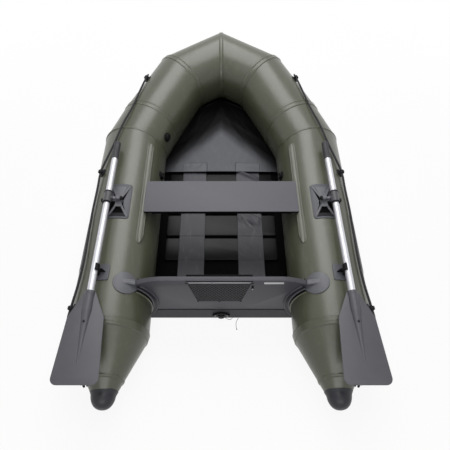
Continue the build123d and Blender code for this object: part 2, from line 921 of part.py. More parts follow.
# Inflation valves: one for each side chamber, and one for the bow chamber
valve_distance = 738
valve_angle = 163
bow_valve_share = 0.48
bow_valve_angle = 158
valve_flange_radius = 27
valve_cap_radius = 17
valve_flange_skin = 4
valve_cap_height = 11
valve_bevel = 2


def make_valve(plane, tube):
    with BuildPart() as valve:
        with BuildSketch(plane.offset(-valve_flange_skin)):
            Circle(valve_flange_radius)
        extrude(amount=2 * valve_flange_skin)
        with BuildSketch(plane.offset(valve_flange_skin)):
            Circle(valve_cap_radius)
        extrude(amount=valve_cap_height)
        rims = edges().sort_by(lambda edge: (edge.center() - plane.origin).dot(plane.z_dir))
        chamfer(rims[-1], length=valve_bevel)
        add(tube.part, mode=Mode.SUBTRACT)
    return valve


for side_name, side in SIDES.items():
    plane = gore_plane(side, 0, side_share(transom_y + valve_distance), valve_angle)
    save(make_valve(plane, gores[side, 0]), f"{side_name}_valve")
save(make_valve(gore_plane(-1, 1, bow_valve_share, bow_valve_angle), gores[-1, 1]), "bow_valve")

# Tow ring: a patch bent over the bow seam, with a strap that holds a steel ring
tow_patch_radius = 42
tow_angle = 30
tow_ring_radius = 21
tow_wire_radius = 3
tow_strap_width = 22
tow_strap_length = 16
tow_strap_rise = 11
tow_strap_root = 6
tow_ring_drop = 34
tow_ring_corner = 9

tow_wire_lift = tow_strap_rise / 2 + 1
bow_seam = Vector(0, bow_y, tube_radius + bow_rise)


def bow_seam_plane(angle):
    """On the ridge of the bow seam, at an angle below the horizontal, with Z square to the ridge."""
    run = (centre_line(1)[3] - bow_seam).normalized()
    out = Vector(0, cos(radians(angle)), -sin(radians(angle)))
    foot = out * (tube_radius / sqrt(1 - run.dot(out) ** 2))
    normal = foot - run * foot.dot(run)
    return Plane(origin=bow_seam + foot, x_dir=(1, 0, 0), z_dir=(0, normal.Y, normal.Z))


tow_plane = bow_seam_plane(tow_angle)

with BuildPart() as tow_patch:
    for side in SIDES.values():
        add(make_gore(side, 3, tube_radius + pad_skin).part)
    with BuildSketch(tow_plane.offset(-tube_radius)):
        Circle(tow_patch_radius)
    extrude(amount=2 * tube_radius, mode=Mode.INTERSECT)
    with BuildSketch(tow_plane.offset(-tow_strap_root)):
        Rectangle(tow_strap_width, tow_strap_length)
    extrude(amount=tow_strap_root + tow_strap_rise)
    for side in SIDES.values():
        add(gores[side, 3].part, mode=Mode.SUBTRACT)
    with BuildSketch(Plane(origin=tow_plane.from_local_coords((0, 0, tow_wire_lift)), z_dir=(1, 0, 0))):
        Circle(tow_wire_radius)
    extrude(amount=tow_strap_width, both=True, mode=Mode.SUBTRACT)
save(tow_patch, "tow_patch")

with BuildPart() as tow_ring:
    ring_plane = tow_plane.offset(tow_wire_lift)
    with BuildLine() as ring_route:
        corners = [
            ring_plane.from_local_coords(corner)
            for corner in (
                (-tow_ring_radius, 0, 0),
                (-tow_ring_radius, -tow_ring_drop, 0),
                (tow_ring_radius, -tow_ring_drop, 0),
                (tow_ring_radius, 0, 0),
            )
        ]
        FilletPolyline(*corners, close=True, radius=tow_ring_corner)
    with BuildSketch(Plane(origin=ring_route.line @ 0, z_dir=ring_route.line % 0)):
        Circle(tow_wire_radius)
    sweep(path=ring_route.line)
save(tow_ring, "tow_ring")

# Drain plug's lanyard, which hangs from the plug and lies on the ground in a loop.
# The Y of each point is measured from the transom's aft face.
lanyard_radius = 1
lanyard_route = [
    (14.6, -11, 37.6),
    (27, -11, 22),
    (39, -9, 3.5),
    (52, -2, 1.6),
    (58, 10, 1.3),
    (74, 20, 1.3),
    (90, 12, 1.3),
    (77, -10, 1.4),
    (70, -31, 1.3),
    (75, -58, 1.3),
]
lanyard_points = [Vector(x, transom_y + y, z) for x, y, z in lanyard_route]
save(sweep_cord(lanyard_points, lanyard_radius), "drain_lanyard")
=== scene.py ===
import bmesh
import bpy
from math import asin, cos, degrees, exp, hypot, pi, radians, sin
from mathutils import Matrix, Vector, noise


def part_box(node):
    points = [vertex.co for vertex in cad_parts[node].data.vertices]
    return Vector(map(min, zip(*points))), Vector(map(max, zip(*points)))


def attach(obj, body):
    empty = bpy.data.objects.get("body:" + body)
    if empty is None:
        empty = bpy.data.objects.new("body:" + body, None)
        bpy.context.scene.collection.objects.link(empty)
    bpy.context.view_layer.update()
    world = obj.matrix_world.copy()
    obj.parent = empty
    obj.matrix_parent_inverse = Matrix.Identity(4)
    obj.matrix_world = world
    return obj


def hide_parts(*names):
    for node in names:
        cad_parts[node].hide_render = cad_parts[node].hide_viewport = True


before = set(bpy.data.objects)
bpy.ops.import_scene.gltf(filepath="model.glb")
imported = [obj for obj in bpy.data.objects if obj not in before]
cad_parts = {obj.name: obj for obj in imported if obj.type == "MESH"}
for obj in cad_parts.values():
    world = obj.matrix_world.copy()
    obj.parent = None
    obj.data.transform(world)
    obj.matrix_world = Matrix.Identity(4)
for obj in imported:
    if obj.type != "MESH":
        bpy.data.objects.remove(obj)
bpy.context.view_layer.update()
sides = {"port": -1, "starboard": 1}


def linked(name, data):
    # a new object in the scene
    made = bpy.data.objects.new(name, data)
    bpy.context.scene.collection.objects.link(made)
    return made


print("frame loaded:", len(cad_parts), "nodes")

# Camera, astern and above
cameraView = {
    "place": (0, -1.696, 2.066),
    "tilt": 34.92,
    "lens": 37.05,
    "shift": (0.0084, 0.049),
}

camera = linked("camera", bpy.data.cameras.new("camera"))
camera.location = cameraView["place"]
camera.rotation_euler = (radians(cameraView["tilt"]), 0, 0)
camera.data.lens = cameraView["lens"]
camera.data.sensor_width = 36
camera.data.shift_x, camera.data.shift_y = cameraView["shift"]
camera.data.clip_start = 0.05
bpy.context.scene.camera = camera
print("camera placed")


# Materials: sums of sockets, a tree of nodes, and the surface that the nodes feed


class Value:
    # a socket that can be used in sums
    def __init__(self, finish, socket):
        self.finish = finish
        self.socket = socket

    def out(self, name):
        return Value(self.finish, self.socket.node.outputs[name])

    def maths(self, operation, first, second=0.0):
        return self.finish.node("ShaderNodeMath", {"operation": operation}, {0: first, 1: second})

    def __abs__(self):
        return self.maths("ABSOLUTE", self)


for sign, operation in {"add": "ADD", "sub": "SUBTRACT", "mul": "MULTIPLY", "truediv": "DIVIDE"}.items():
    setattr(Value, f"__{sign}__", lambda self, other, kind=operation: self.maths(kind, self, other))
    setattr(Value, f"__r{sign}__", lambda self, other, kind=operation: self.maths(kind, other, self))


class Nodes:
    # a node tree whose nodes all come from node()
    def __init__(self, tree):
        self.tree = tree

    def feed(self, socket, value):
        if isinstance(value, Value):
            self.tree.links.new(value.socket, socket)
        else:
            socket.default_value = value

    def node(self, kind, settings=None, sockets=None, out=0):
        made = self.tree.nodes.new(kind)
        for name, setting in (settings or {}).items():
            if name == "stops":
                for stop, (place, tone) in zip(
                    [made.color_ramp.elements[0], *[made.color_ramp.elements.new(0.5) for _ in setting[2:]],
                     made.color_ramp.elements[-1]], setting
                ):
                    stop.position = place
                    stop.color = (*tone, 1) if hasattr(tone, "__len__") else (tone, tone, tone, 1)
            else:
                setattr(made, name, setting)
        for name, value in (sockets or {}).items():
            self.feed(made.inputs[name], value)
        return Value(self, made.outputs[out])

    def coordinates(self, scale=(1, 1, 1), centre=(0, 0, 0), turn=(0, 0, 0), source="Object"):
        place = self.node("ShaderNodeTexCoord", out=source)
        return self.node("ShaderNodeMapping", {"vector_type": "POINT"}, {
            "Vector": place,
            "Location": tuple(-c * s for c, s in zip(centre, scale)),
            "Rotation": tuple(radians(t) for t in turn),
            "Scale": scale,
        })

    def speckle(self, place, scale, detail=2.0, rough=0.5):
        return self.node("ShaderNodeTexNoise", None, {
            "Vector": place, "Scale": scale, "Detail": detail, "Roughness": rough,
        }, out="Fac")

    def bands(self, place, direction, scale, sockets=None):
        return self.node("ShaderNodeTexWave", {"bands_direction": direction}, {
            "Vector": place, "Scale": scale, **(sockets or {}),
        }, out="Fac")

    def blend(self, share, first, second):
        return self.node("ShaderNodeMix", {"data_type": "RGBA"}, {0: share, 6: first, 7: second}, out=2)

    def ramp(self, value, *stops):
        return self.node("ShaderNodeValToRGB", {"stops": stops}, {"Fac": value}, out="Color")

    def relief(self, height, distance, strength=1.0, over=None):
        sockets = {"Height": height, "Distance": distance, "Strength": strength}
        if over is not None:
            sockets["Normal"] = over
        return self.node("ShaderNodeBump", None, sockets)

    def seenRay(self):
        # 1 on a ray that shows a surface, straight, mirrored or through glass, and 0 on the others
        camera = self.node("ShaderNodeLightPath", out="Is Camera Ray")
        seen = camera + camera.out("Is Glossy Ray") + camera.out("Is Transmission Ray")
        return seen.maths("MINIMUM", seen, 1.0)


class Finish(Nodes):
    # a material under construction
    def __init__(self, name, roughness, metallic=0.0, gloss=0.5):
        self.material = bpy.data.materials.new(name)
        self.material.use_nodes = True
        super().__init__(self.material.node_tree)
        self.surface = self.tree.nodes["Principled BSDF"]
        self.set("Roughness", roughness)
        self.set("Metallic", metallic)
        self.set("Specular IOR Level", gloss)

    def set(self, name, value):
        self.feed(self.surface.inputs[name], value)


def tone(red, green, blue):
    # a colour as it is seen, to the linear one that a shader takes
    return tuple(
        c / 255 / 12.92 if c <= 10 else ((c / 255 + 0.055) / 1.055) ** 2.4 for c in (red, green, blue)
    ) + (1,)


def lighter(colour, lift):
    return tone(*[min(255, c + lift) for c in colour])


def coatedFabric(name, body, worn, dust, roughness, weave, grain=0.00012, coat=0.0, gloss=0.5):
    # woven cloth under a smooth coat: faint weave, slow blotches and scuffs
    made = Finish(name, roughness, gloss=gloss)
    made.set("Coat Weight", coat)
    made.set("Coat Roughness", 0.22)
    place = made.coordinates()
    blotch = made.speckle(place, 5, 4, 0.6)
    fine = made.speckle(place, 420, 2)
    scuff = made.ramp(made.speckle(made.coordinates((1, 0.25, 1)), 38, 5, 0.7), (0.55, 0), (0.8, 1))
    colour = made.blend(blotch, tone(*body), tone(*worn))
    colour = made.blend(scuff * dust, colour, lighter(worn, 45))
    made.set("Base Color", colour)
    made.set("Roughness", roughness - 0.06 + 0.12 * blotch + 0.08 * scuff * dust)
    first, second, third = (
        made.bands(place, direction, weave, {"Distortion": 0.4, "Detail": 1.0}) for direction in "XYZ"
    )
    height = (first + second + third) * 0.25 + fine * 0.5
    made.set("Normal", made.relief(height, grain, 0.35))
    return made.material


def mouldedPlastic(name, body, worn, roughness, grain=0.00015, scale=900, gloss=0.5):
    # moulded plastic or rubber with a fine eroded grain
    made = Finish(name, roughness, gloss=gloss)
    place = made.coordinates()
    blotch = made.speckle(place, 14, 4, 0.6)
    fine = made.speckle(place, scale, 3, 0.7)
    scratch = made.speckle(made.coordinates((1, 9, 1), turn=(0, 0, 24)), 60, 4, 0.8)
    scratch = made.ramp(scratch, (0.62, 0), (0.75, 1))
    colour = made.blend(blotch, tone(*body), tone(*worn))
    made.set("Base Color", made.blend(scratch * 0.25, colour, lighter(worn, 30)))
    made.set("Roughness", roughness - 0.05 + 0.1 * blotch + 0.1 * scratch)
    made.set("Normal", made.relief(fine, grain, 0.5))
    return made.material


def paintedWood(name, body, worn, roughness, gloss=0.5):
    # satin paint over plywood, with a brushed film and a little raised grain
    made = Finish(name, roughness, gloss=gloss)
    place = made.coordinates()
    grain = made.speckle(made.coordinates((3, 40, 40)), 6, 5, 0.65)
    blotch = made.speckle(place, 7, 3)
    colour = made.blend(blotch * 0.7 + grain * 0.3, tone(*body), tone(*worn))
    made.set("Base Color", colour)
    made.set("Roughness", roughness - 0.05 + 0.12 * blotch)
    fine = made.speckle(place, 500, 2)
    made.set("Normal", made.relief(grain * 0.6 + fine * 0.4, 0.0002, 0.4))
    return made.material


def drawnMetal(name, body, roughness, streak=(200, 4, 200), metallic=1.0):
    # metal with fine lines along the way it was drawn
    made = Finish(name, roughness, metallic)
    lines = made.speckle(made.coordinates(streak), 5, 3, 0.6)
    blotch = made.speckle(made.coordinates(), 18, 3)
    darker = tone(*[c * 0.86 for c in body])
    made.set("Base Color", made.blend(blotch * 0.5 + lines * 0.5, tone(*body), darker))
    made.set("Roughness", roughness - 0.08 + 0.12 * lines + 0.08 * blotch)
    made.set("Normal", made.relief(lines, 0.00005, 0.4))
    return made.material


def apronWithPaintedShade(name, light, dark, roughness, gloss):
    # pale cloth in the middle of the bow, with painted shade darkening it to black at the sides and towards
    # the bow, where it tucks in beside the tubes
    made = Finish(name, roughness, gloss=gloss)
    place = made.coordinates()
    across = made.node("ShaderNodeSeparateXYZ", None, {0: made.coordinates(source="UV")}, out="X")
    along = across.out("Y")
    off = abs(across - 0.5) * 2
    cloud = made.speckle(place, 9, 3)
    reach = 1.03 - 0.88 * along - 1.05 * along * along
    # inside is 1 over the lit middle and falls to 0 at the sides and towards the bow; there the dark colour
    # is painted shade
    inside = made.ramp(reach - off + 0.14 * (cloud - 0.5) + 0.12, (0.0, 0.0), (0.20, 0.22), (0.46, 1.0))
    blotch = made.speckle(place, 5, 4, 0.6)
    crease = made.speckle(made.coordinates((1.4, 0.4, 1), turn=(0, 0, 32)), 30, 4, 0.6)
    crease = made.ramp(crease, (0.5, 0), (0.75, 1))
    pale = made.blend(blotch, tone(*light), lighter(light, 12))
    colour = made.blend(inside, tone(*dark), made.blend(crease * 0.3, pale, lighter(light, 26)))
    made.set("Base Color", colour)
    made.set("Roughness", roughness + 0.1 * blotch + 0.2 * (1 - inside))
    fine = made.speckle(place, 420, 2)
    made.set("Normal", made.relief(crease * 0.6 + fine * 0.1, 0.0012, 0.5))
    return made.material


def braidedCord(name, dark, light, turns):
    # braid drawn on the cord's own length and girth, kept in its UV map
    made = Finish(name, 0.8)
    over, under = (
        made.bands(made.coordinates((hand, turns, 1), source="UV"), "DIAGONAL", 4.0) for hand in (1, -1)
    )
    strands = over * under
    fuzz = made.speckle(made.coordinates(), 700, 2)
    made.set("Base Color", made.blend(strands * 0.7 + fuzz * 0.3, tone(*dark), tone(*light)))
    made.set("Normal", made.relief(strands + fuzz * 0.3, 0.0006, 0.6))
    return made.material


finishes = {
    "hull": coatedFabric("oliveFabric", (71, 73, 58), (80, 82, 66), 0.25, 0.36, 260, coat=0.2),
    "tape": coatedFabric("oliveTape", (69, 71, 56), (79, 81, 65), 0.3, 0.38, 300, coat=0.2),
    # the bottom sheet's near-black tone is painted shade for the dark well between the tubes
    "bottom": coatedFabric("bottomFabricPaintedShade", (8, 8, 9), (13, 13, 14), 0.1, 0.7, 260, gloss=0.03),
    "skirt": coatedFabric("greySkirtFabric", (48, 48, 52), (56, 56, 60), 0.3, 0.5, 260, gloss=0.2),
    # the apron's dark tone (3, 3, 4) is painted shade at its sides and bow end
    "floor": apronWithPaintedShade("greyApronPaintedShade", (94, 95, 100), (3, 3, 4), 0.42, 0.16),
    "tab": coatedFabric("greyTabFabric", (98, 99, 104), (108, 109, 114), 0.4, 0.45, 240, gloss=0.2),
    "strip": coatedFabric("greyStripFabric", (76, 76, 81), (86, 86, 91), 0.4, 0.45, 240, gloss=0.2),
    "panel": coatedFabric("darkPanelFabric", (40, 40, 42), (50, 50, 52), 0.3, 0.5, 260),
    # a lighter olive: the flap's own olive with a painted highlight on its rolled edge
    "bead": coatedFabric("oliveBeadHighlight", (86, 88, 72), (98, 100, 82), 0.2, 0.4, 260, coat=0.2),
    "cap": mouldedPlastic("capRubber", (28, 29, 34), (38, 39, 45), 0.42, gloss=0.4),
    "holder": mouldedPlastic("holderRubber", (34, 31, 38), (46, 43, 51), 0.45, gloss=0.3),
    # painted highlight along the transom channels' lip edges
    "lip": mouldedPlastic("lipEdgeHighlight", (66, 65, 72), (78, 77, 84), 0.45),
    "ear": mouldedPlastic("earRubber", (86, 87, 92), (98, 99, 104), 0.45),
    "pad": mouldedPlastic("padRubber", (72, 73, 79), (84, 85, 91), 0.48, gloss=0.4),
    "motorPad": mouldedPlastic("motorPadPlastic", (7, 7, 8), (12, 12, 14), 0.5, gloss=0.05),
    "diamond": mouldedPlastic("diamondPlastic", (74, 74, 77), (88, 88, 92), 0.4, gloss=0.3),
    # painted shade: near-black patches laid in the oarlock foot's hollows
    "void": mouldedPlastic("paintedShadeRubber", (5, 5, 6), (10, 10, 11), 0.7, gloss=0.03),
    "black": mouldedPlastic("blackPlastic", (9, 9, 10), (18, 18, 20), 0.4, gloss=0.2),
    "grey": mouldedPlastic("greyPlastic", (70, 70, 74), (82, 82, 87), 0.42, gloss=0.4),
    "dark": mouldedPlastic("darkPlastic", (30, 30, 33), (40, 40, 44), 0.5, gloss=0.1),
    "pin": mouldedPlastic("pinPlastic", (122, 122, 127), (138, 138, 143), 0.4),
    "blade": mouldedPlastic("bladePlastic", (74, 74, 80), (86, 86, 92), 0.45),
    "grip": mouldedPlastic("gripRubber", (40, 40, 44), (52, 52, 57), 0.6),
    "slat": paintedWood("slatBoard", (20, 20, 21), (28, 28, 29), 0.34, gloss=0.15),
    "board": paintedWood("paintedBoard", (72, 72, 78), (82, 82, 88), 0.42, gloss=0.25),
    "bench": paintedWood("benchBoard", (92, 92, 98), (101, 101, 107), 0.5, gloss=0.3),
    "benchEdge": paintedWood("benchEdge", (7, 7, 8), (12, 12, 13), 0.6, gloss=0.05),
    "aluminium": drawnMetal("aluminium", (226, 227, 233), 0.42, metallic=0.55),
    "steel": drawnMetal("steel", (196, 196, 198), 0.28, (60, 60, 60)),
    "label": mouldedPlastic("labelFilm", (206, 206, 208), (222, 222, 224), 0.4),
    "rope": braidedCord("ropeBraid", (16, 16, 18), (50, 50, 54), 1.0),
    "cord": braidedCord("cordBraid", (14, 14, 15), (48, 48, 50), 1.0),
}
print("finishes ready:", len(finishes))


# Shapes


def shapedGrid(columns, rows, place):
    # a grid whose points are moved to place(u, v), with u across and v along, both 0 to 1
    work = bmesh.new()
    work.loops.layers.uv.new("UVMap")
    bmesh.ops.create_grid(work, x_segments=columns, y_segments=rows, size=0.5, calc_uvs=True)
    for vert in work.verts:
        vert.co = place(vert.co.x + 0.5, vert.co.y + 0.5)
    bmesh.ops.remove_doubles(work, verts=work.verts, dist=1e-6)
    return work


def turned(profile, steps=48):
    # radii and heights spun round Z
    work = bmesh.new()
    verts = [work.verts.new((radius, 0, height)) for radius, height in profile]
    edges = [work.edges.new(pair) for pair in zip(verts, verts[1:])]
    bmesh.ops.spin(
        work, geom=verts + edges, cent=(0, 0, 0), axis=(0, 0, 1), angle=2 * pi, steps=steps, use_merge=True
    )
    bmesh.ops.remove_doubles(work, verts=work.verts, dist=1e-6)
    return work


def peg(radius, top, foot, chamfer, steps):
    profile = [(0, top), (radius - chamfer, top), (radius, top - chamfer), (radius, foot), (0, foot)]
    return turned(profile, steps)


def plate(outline, thickness):
    # a flat outline in X and Y raised to its thickness
    work = bmesh.new()
    face = work.faces.new([work.verts.new((x, y, 0)) for x, y in outline])
    raised = bmesh.ops.extrude_face_region(work, geom=[face])["geom"]
    verts = [item for item in raised if isinstance(item, bmesh.types.BMVert)]
    bmesh.ops.translate(work, verts=verts, vec=(0, 0, thickness))
    bmesh.ops.recalc_face_normals(work, faces=work.faces)
    return work


def soften(work, width, segments=3, corner=40, keep=None):
    # rounds every edge sharper than the corner angle
    edges = [
        edge for edge in work.edges
        if edge.is_manifold and edge.calc_face_angle(0) > radians(corner) and (keep is None or keep(edge))
    ]
    bmesh.ops.bevel(
        work, geom=edges, offset=width, offset_type="OFFSET", segments=segments, profile=0.5,
        affect="EDGES", material=-1, clamp_overlap=True,
    )
    return work


def roundedOutline(width, length, radius, steps=6):
    # a rectangle's outline with round corners
    points = []
    for x, y, start in (
        (width / 2 - radius, length / 2 - radius, 0), (radius - width / 2, length / 2 - radius, 90),
        (radius - width / 2, radius - length / 2, 180), (width / 2 - radius, radius - length / 2, 270),
    ):
        for step in range(steps + 1):
            turn = radians(start + 90 * step / steps)
            points.append((x + radius * cos(turn), y + radius * sin(turn)))
    return points


def circleOutline(radius, steps=48):
    turns = [2 * pi * step / steps for step in range(steps)]
    return [(radius * cos(turn), radius * sin(turn)) for turn in turns]


def sliced(work, spacing, axis):
    # cuts across the piece at an even spacing, so that it can be bent
    direction = Vector([axis == number for number in range(3)])
    places = [vert.co[axis] for vert in work.verts]
    low, high = min(places), max(places)
    count = int((high - low) / spacing)
    for cut in range(1, count + 1):
        place = low + (high - low) * cut / (count + 1)
        bmesh.ops.bisect_plane(
            work, geom=work.verts[:] + work.edges[:] + work.faces[:], dist=1e-6,
            plane_co=direction * place, plane_no=direction,
        )
    return work


def moved(work, matrix):
    bmesh.ops.transform(work, matrix=matrix, verts=work.verts)
    return work


def shifted(work, x, y, z):
    return moved(work, Matrix.Translation((x, y, z)))


def upright(side=1):
    # X outboard on that side, Y up and Z ahead
    return Matrix(((side, 0, 0, 0), (0, 0, 1, 0), (0, 1, 0, 0), (0, 0, 0, 1)))


def capped(work):
    # closes every open end
    bmesh.ops.holes_fill(work, edges=[edge for edge in work.edges if edge.is_boundary], sides=0)
    return work


def gathered(*parts):
    # several shapes as one
    work = bmesh.new()
    for part in parts:
        mesh = bpy.data.meshes.new("part")
        part.to_mesh(mesh)
        part.free()
        work.from_mesh(mesh)
        bpy.data.meshes.remove(mesh)
    return work


def pointing(origin, out, ahead):
    # a matrix whose Z is out, and whose X is ahead as near as it can be
    axis = Vector(out).normalized()
    run = (Vector(ahead) - axis * Vector(ahead).dot(axis)).normalized()
    side = axis.cross(run)
    matrix = Matrix((run, side, axis)).transposed().to_4x4()
    matrix.translation = Vector(origin)
    return matrix


def facingAft(origin):
    return pointing(origin, (0, -1, 0), (1, 0, 0))


def painted(work, number, chosen=lambda face: True):
    # gives the chosen faces another of the piece's finishes
    for face in work.faces:
        if chosen(face):
            face.material_index = number
    return work


def piece(name, work, finish, body="hull", stands=None, sharp=35, outward=True):
    # the finished object, riding on its body; it stands for the node of its own name, where there is one
    if outward:
        bmesh.ops.recalc_face_normals(work, faces=work.faces)
    mesh = bpy.data.meshes.new(name)
    work.to_mesh(mesh)
    work.free()
    for part in finish if isinstance(finish, tuple) else (finish,):
        mesh.materials.append(finishes[part])
    mesh.shade_smooth()
    mesh.set_sharp_from_angle(angle=radians(sharp))
    made = linked(name, mesh)
    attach(made, body)
    if stands is None:
        node = "".join("_" + letter.lower() if letter.isupper() else letter for letter in name)
        stands = [node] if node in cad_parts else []
    if stands:
        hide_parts(*stands)
    return made


def thicken(made, thickness, offset):
    # gives a cloth its thickness: -1 inward, 1 outward, 0 both ways
    wall = made.modifiers.new("thickness", "SOLIDIFY")
    wall.thickness, wall.offset = thickness, offset


# The hull's skin: four gores a side between mitre seams, and a cone astern

tubeLow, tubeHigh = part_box("starboard_side_tube")
capLow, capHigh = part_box("starboard_cone_cap")
hull = {
    "radius": (tubeHigh.x - tubeLow.x) / 2,
    "seams": (
        ((tubeHigh.x + tubeLow.x) / 2, tubeLow.y, (tubeHigh.x - tubeLow.x) / 2),
        (0.494, 0.31323, 0.176),
        (0.417, 0.50123, 0.202),
        (0.246, 0.84123, 0.257),
        (0, 0.96423, 0.298),
    ),
    "tip": ((capLow.x + capHigh.x) / 2, capHigh.y, (capLow.z + capHigh.z) / 2),
    "tipRadius": (capHigh.x - capLow.x) / 2,
    "transom": -0.682,
}
tubeRadius = hull["radius"]
transomY = hull["transom"]


def goreFrames(side):
    # for each gore: start, end, direction, outboard, upward, and the planes it is cut on
    seams = [Vector((side * x, y, z)) for x, y, z in hull["seams"]]
    runs = [(end - start).normalized() for start, end in zip(seams, seams[1:])]
    planes = [Vector((0, 1, 0))]
    planes += [(before + after).normalized() for before, after in zip(runs, runs[1:])]
    planes.append(Vector((-side, 0, 0)))
    outboard, upward, last = Vector((side, 0, 0)), Vector((0, 0, 1)), Vector((0, 1, 0))
    frames = []
    for number, run in enumerate(runs):
        turn = last.rotation_difference(run)
        outboard, upward, last = turn @ outboard, turn @ upward, run
        ends = seams[number:number + 2]
        frames.append((*ends, run, outboard, upward, *planes[number:number + 2]))
    return frames


gores = {side: goreFrames(side) for side in sides.values()}


def goreEnds(side, gore, angle, lift=0.0):
    # where a gore's line at that angle meets its two seams, and the line's direction
    start, end, run, outboard, upward, first, second = gores[side][gore]
    reach = (outboard * cos(radians(angle)) + upward * sin(radians(angle))) * (tubeRadius + lift)
    low = start + reach - run * (reach.dot(first) / run.dot(first))
    high = end + reach - run * (reach.dot(second) / run.dot(second))
    return low, high, run


def skinPoint(side, gore, share, angle, lift=0.0):
    # a share of the way along a gore; gore -1 is the cone, from its cap to its seam
    if gore < 0:
        tip, root = Vector(hull["tip"]), Vector(hull["seams"][0])
        centre = tip.lerp(root, share)
        reach = hull["tipRadius"] + (tubeRadius - hull["tipRadius"]) * share + lift
        turn = radians(angle)
        return Vector((side * (centre.x + reach * cos(turn)), centre.y, centre.z + reach * sin(turn)))
    low, high, run = goreEnds(side, gore, angle, lift)
    return low.lerp(high, share)


def skinAlong(side, gore, distance, angle, lift=0.0):
    # a distance along a gore from its start, square to its axis
    start, end, run, outboard, upward, first, second = gores[side][gore]
    turn = radians(angle)
    return start + run * distance + (outboard * cos(turn) + upward * sin(turn)) * (tubeRadius + lift)


def besideSeam(side, seam, distance, angle, lift=0.0):
    # a distance ahead of a seam, or behind it
    if seam == 0 and distance < 0:
        share = 1 + distance / (hull["seams"][0][1] - hull["tip"][1])
        return skinPoint(side, -1, share, angle, lift)
    if distance >= 0 and seam < 4:
        low, high, run = goreEnds(side, seam, angle, lift)
        return low + run * distance
    low, high, run = goreEnds(side, seam - 1, angle, lift)
    return high + run * distance


def bent(work, side, gore, distance, angle):
    # wraps a flat piece on a gore: its X runs along the tube and its Y up round it
    for vert in work.verts:
        turn = angle + degrees(vert.co.y / tubeRadius)
        vert.co = skinAlong(side, gore, distance + vert.co.x, turn, vert.co.z)
    return work


def onTube(y):
    return y - hull["seams"][0][1]


def rested(place):
    # nothing goes below the floor
    place.z = max(place.z, 0.0)
    return place


hullSkin = {
    "around": 128,
    "rows": {-1: (22, 110, 28, 40, 30), 1: (22, 240, 28, 40, 30)},  # cone, side, quarter, shoulder, bow
    "waveHeight": 0.0010,
    "puckerDepth": 0.0022,
    "puckerReach": 0.028,
    "puckerWaves": 46,
    "tuckDepth": 0.0016,
    "tuckPitch": 0.013,
    "tuckAngle": 146,
    "tuckSpread": 15,
    "tuckY": 0.03,
    "tuckReach": 0.24,
}


def evenRows(count):
    # shares from one seam to the next, closer together beside the seams
    steps = [step / count for step in range(count + 1)]
    return [step - 0.7 * sin(2 * pi * step) / (2 * pi) for step in steps]


def skinStations(side):
    rows = []
    for gore, count in zip((-1, 0, 1, 2, 3), hullSkin["rows"][side]):
        shares = evenRows(count)
        rows += [(gore, share) for share in (shares if gore < 0 else shares[1:])]
    return rows


def fabricEase(side, gore, share, angle, place):
    # how far the skin stands off the true cylinder: slow waves, puckers inside the bends, tucks by the rail
    ease = hullSkin["waveHeight"] * (noise.noise(place * 5.0) + 0.4 * noise.noise(place * 13.0))
    inside = max(0.0, -cos(radians(angle))) ** 2
    if gore >= 0:
        length = (gores[side][gore][1] - gores[side][gore][0]).length
        for seam, distance in ((gore, share * length), (gore + 1, (1 - share) * length)):
            if seam > 0:
                phase = 2.4 * seam + side
                wave = 0.5 + 0.5 * sin(radians(angle) * hullSkin["puckerWaves"] / 2 + phase)
                fade = exp(-distance / hullSkin["puckerReach"])
                ease -= hullSkin["puckerDepth"] * inside * wave * fade
    if gore == 0:
        y = place.y
        off = angle - hullSkin["tuckAngle"]
        tucks = max(0.0, 1 - abs(off) / hullSkin["tuckSpread"])
        tucks *= max(0.0, 1 - abs(y - hullSkin["tuckY"]) / hullSkin["tuckReach"])
        if side > 0 and tucks > 0:
            slant = (y + 0.0009 * off) / hullSkin["tuckPitch"]
            wave = 0.5 + 0.5 * sin(2 * pi * slant + 2.0 * noise.noise(place * 20))
            ease -= hullSkin["tuckDepth"] * tucks ** 0.6 * wave
    return ease


for name, side in sides.items():
    skinRows = skinStations(side)

    def skinPlace(u, v):
        gore, share = skinRows[round(v * (len(skinRows) - 1))]
        angle = 360 * u - 90
        place = skinPoint(side, gore, share, angle)
        return rested(skinPoint(side, gore, share, angle, fabricEase(side, gore, share, angle, place)))

    work = shapedGrid(hullSkin["around"], len(skinRows) - 1, skinPlace)
    capped(work)
    tubes = ("side_tube", "quarter_tube", "shoulder_tube", "bow_tube", "stern_cone")
    piece(
        f"{name}HullSkin", work, "hull", sharp=60,
        stands=[f"{name}_{tube}" for tube in tubes],
    )
print("hull skin done")

# Seam tapes: welted on both edges, or a single welt
seamTape = {
    "rise": 0.0013,
    "welt": 0.0032,
    "weltWidth": 0.009,
    "doubleHalf": 0.018,
    "singleHalf": 0.007,
    "around": 128,
}


def weltProfile(half, double):
    # across the tape: distance from the seam and height off the skin
    rise, welt, width = seamTape["rise"], seamTape["welt"], seamTape["weltWidth"]
    if not double:
        return [(-half, -0.001), (-half, 0.0004), (-half * 0.6, welt * 0.8), (0, welt),
                (half * 0.6, welt * 0.8),
                (half, 0.0004), (half, -0.001)]
    edge = [(-half, -0.001), (-half, 0.0005), (-half + width * 0.25, welt * 0.8), (-half + width * 0.5, welt),
            (-half + width * 0.75, welt * 0.8), (-half + width, rise)]
    edge += [(-half + width * 1.4, rise)]
    return edge + [(-x, z) for x, z in reversed(edge)]


def tapeRound(place, half, double):
    profile = weltProfile(half, double)
    closed = profile + profile[:1]

    def at(u, v):
        across, lift = closed[round(v * (len(closed) - 1))]
        return rested(place(across, 360 * u - 90, lift))

    return shapedGrid(seamTape["around"], len(closed) - 1, at)


def bowSeamPlace(across, angle, lift):
    side = 1 if across >= 0 else -1
    return besideSeam(side, 4, -abs(across), angle, lift)


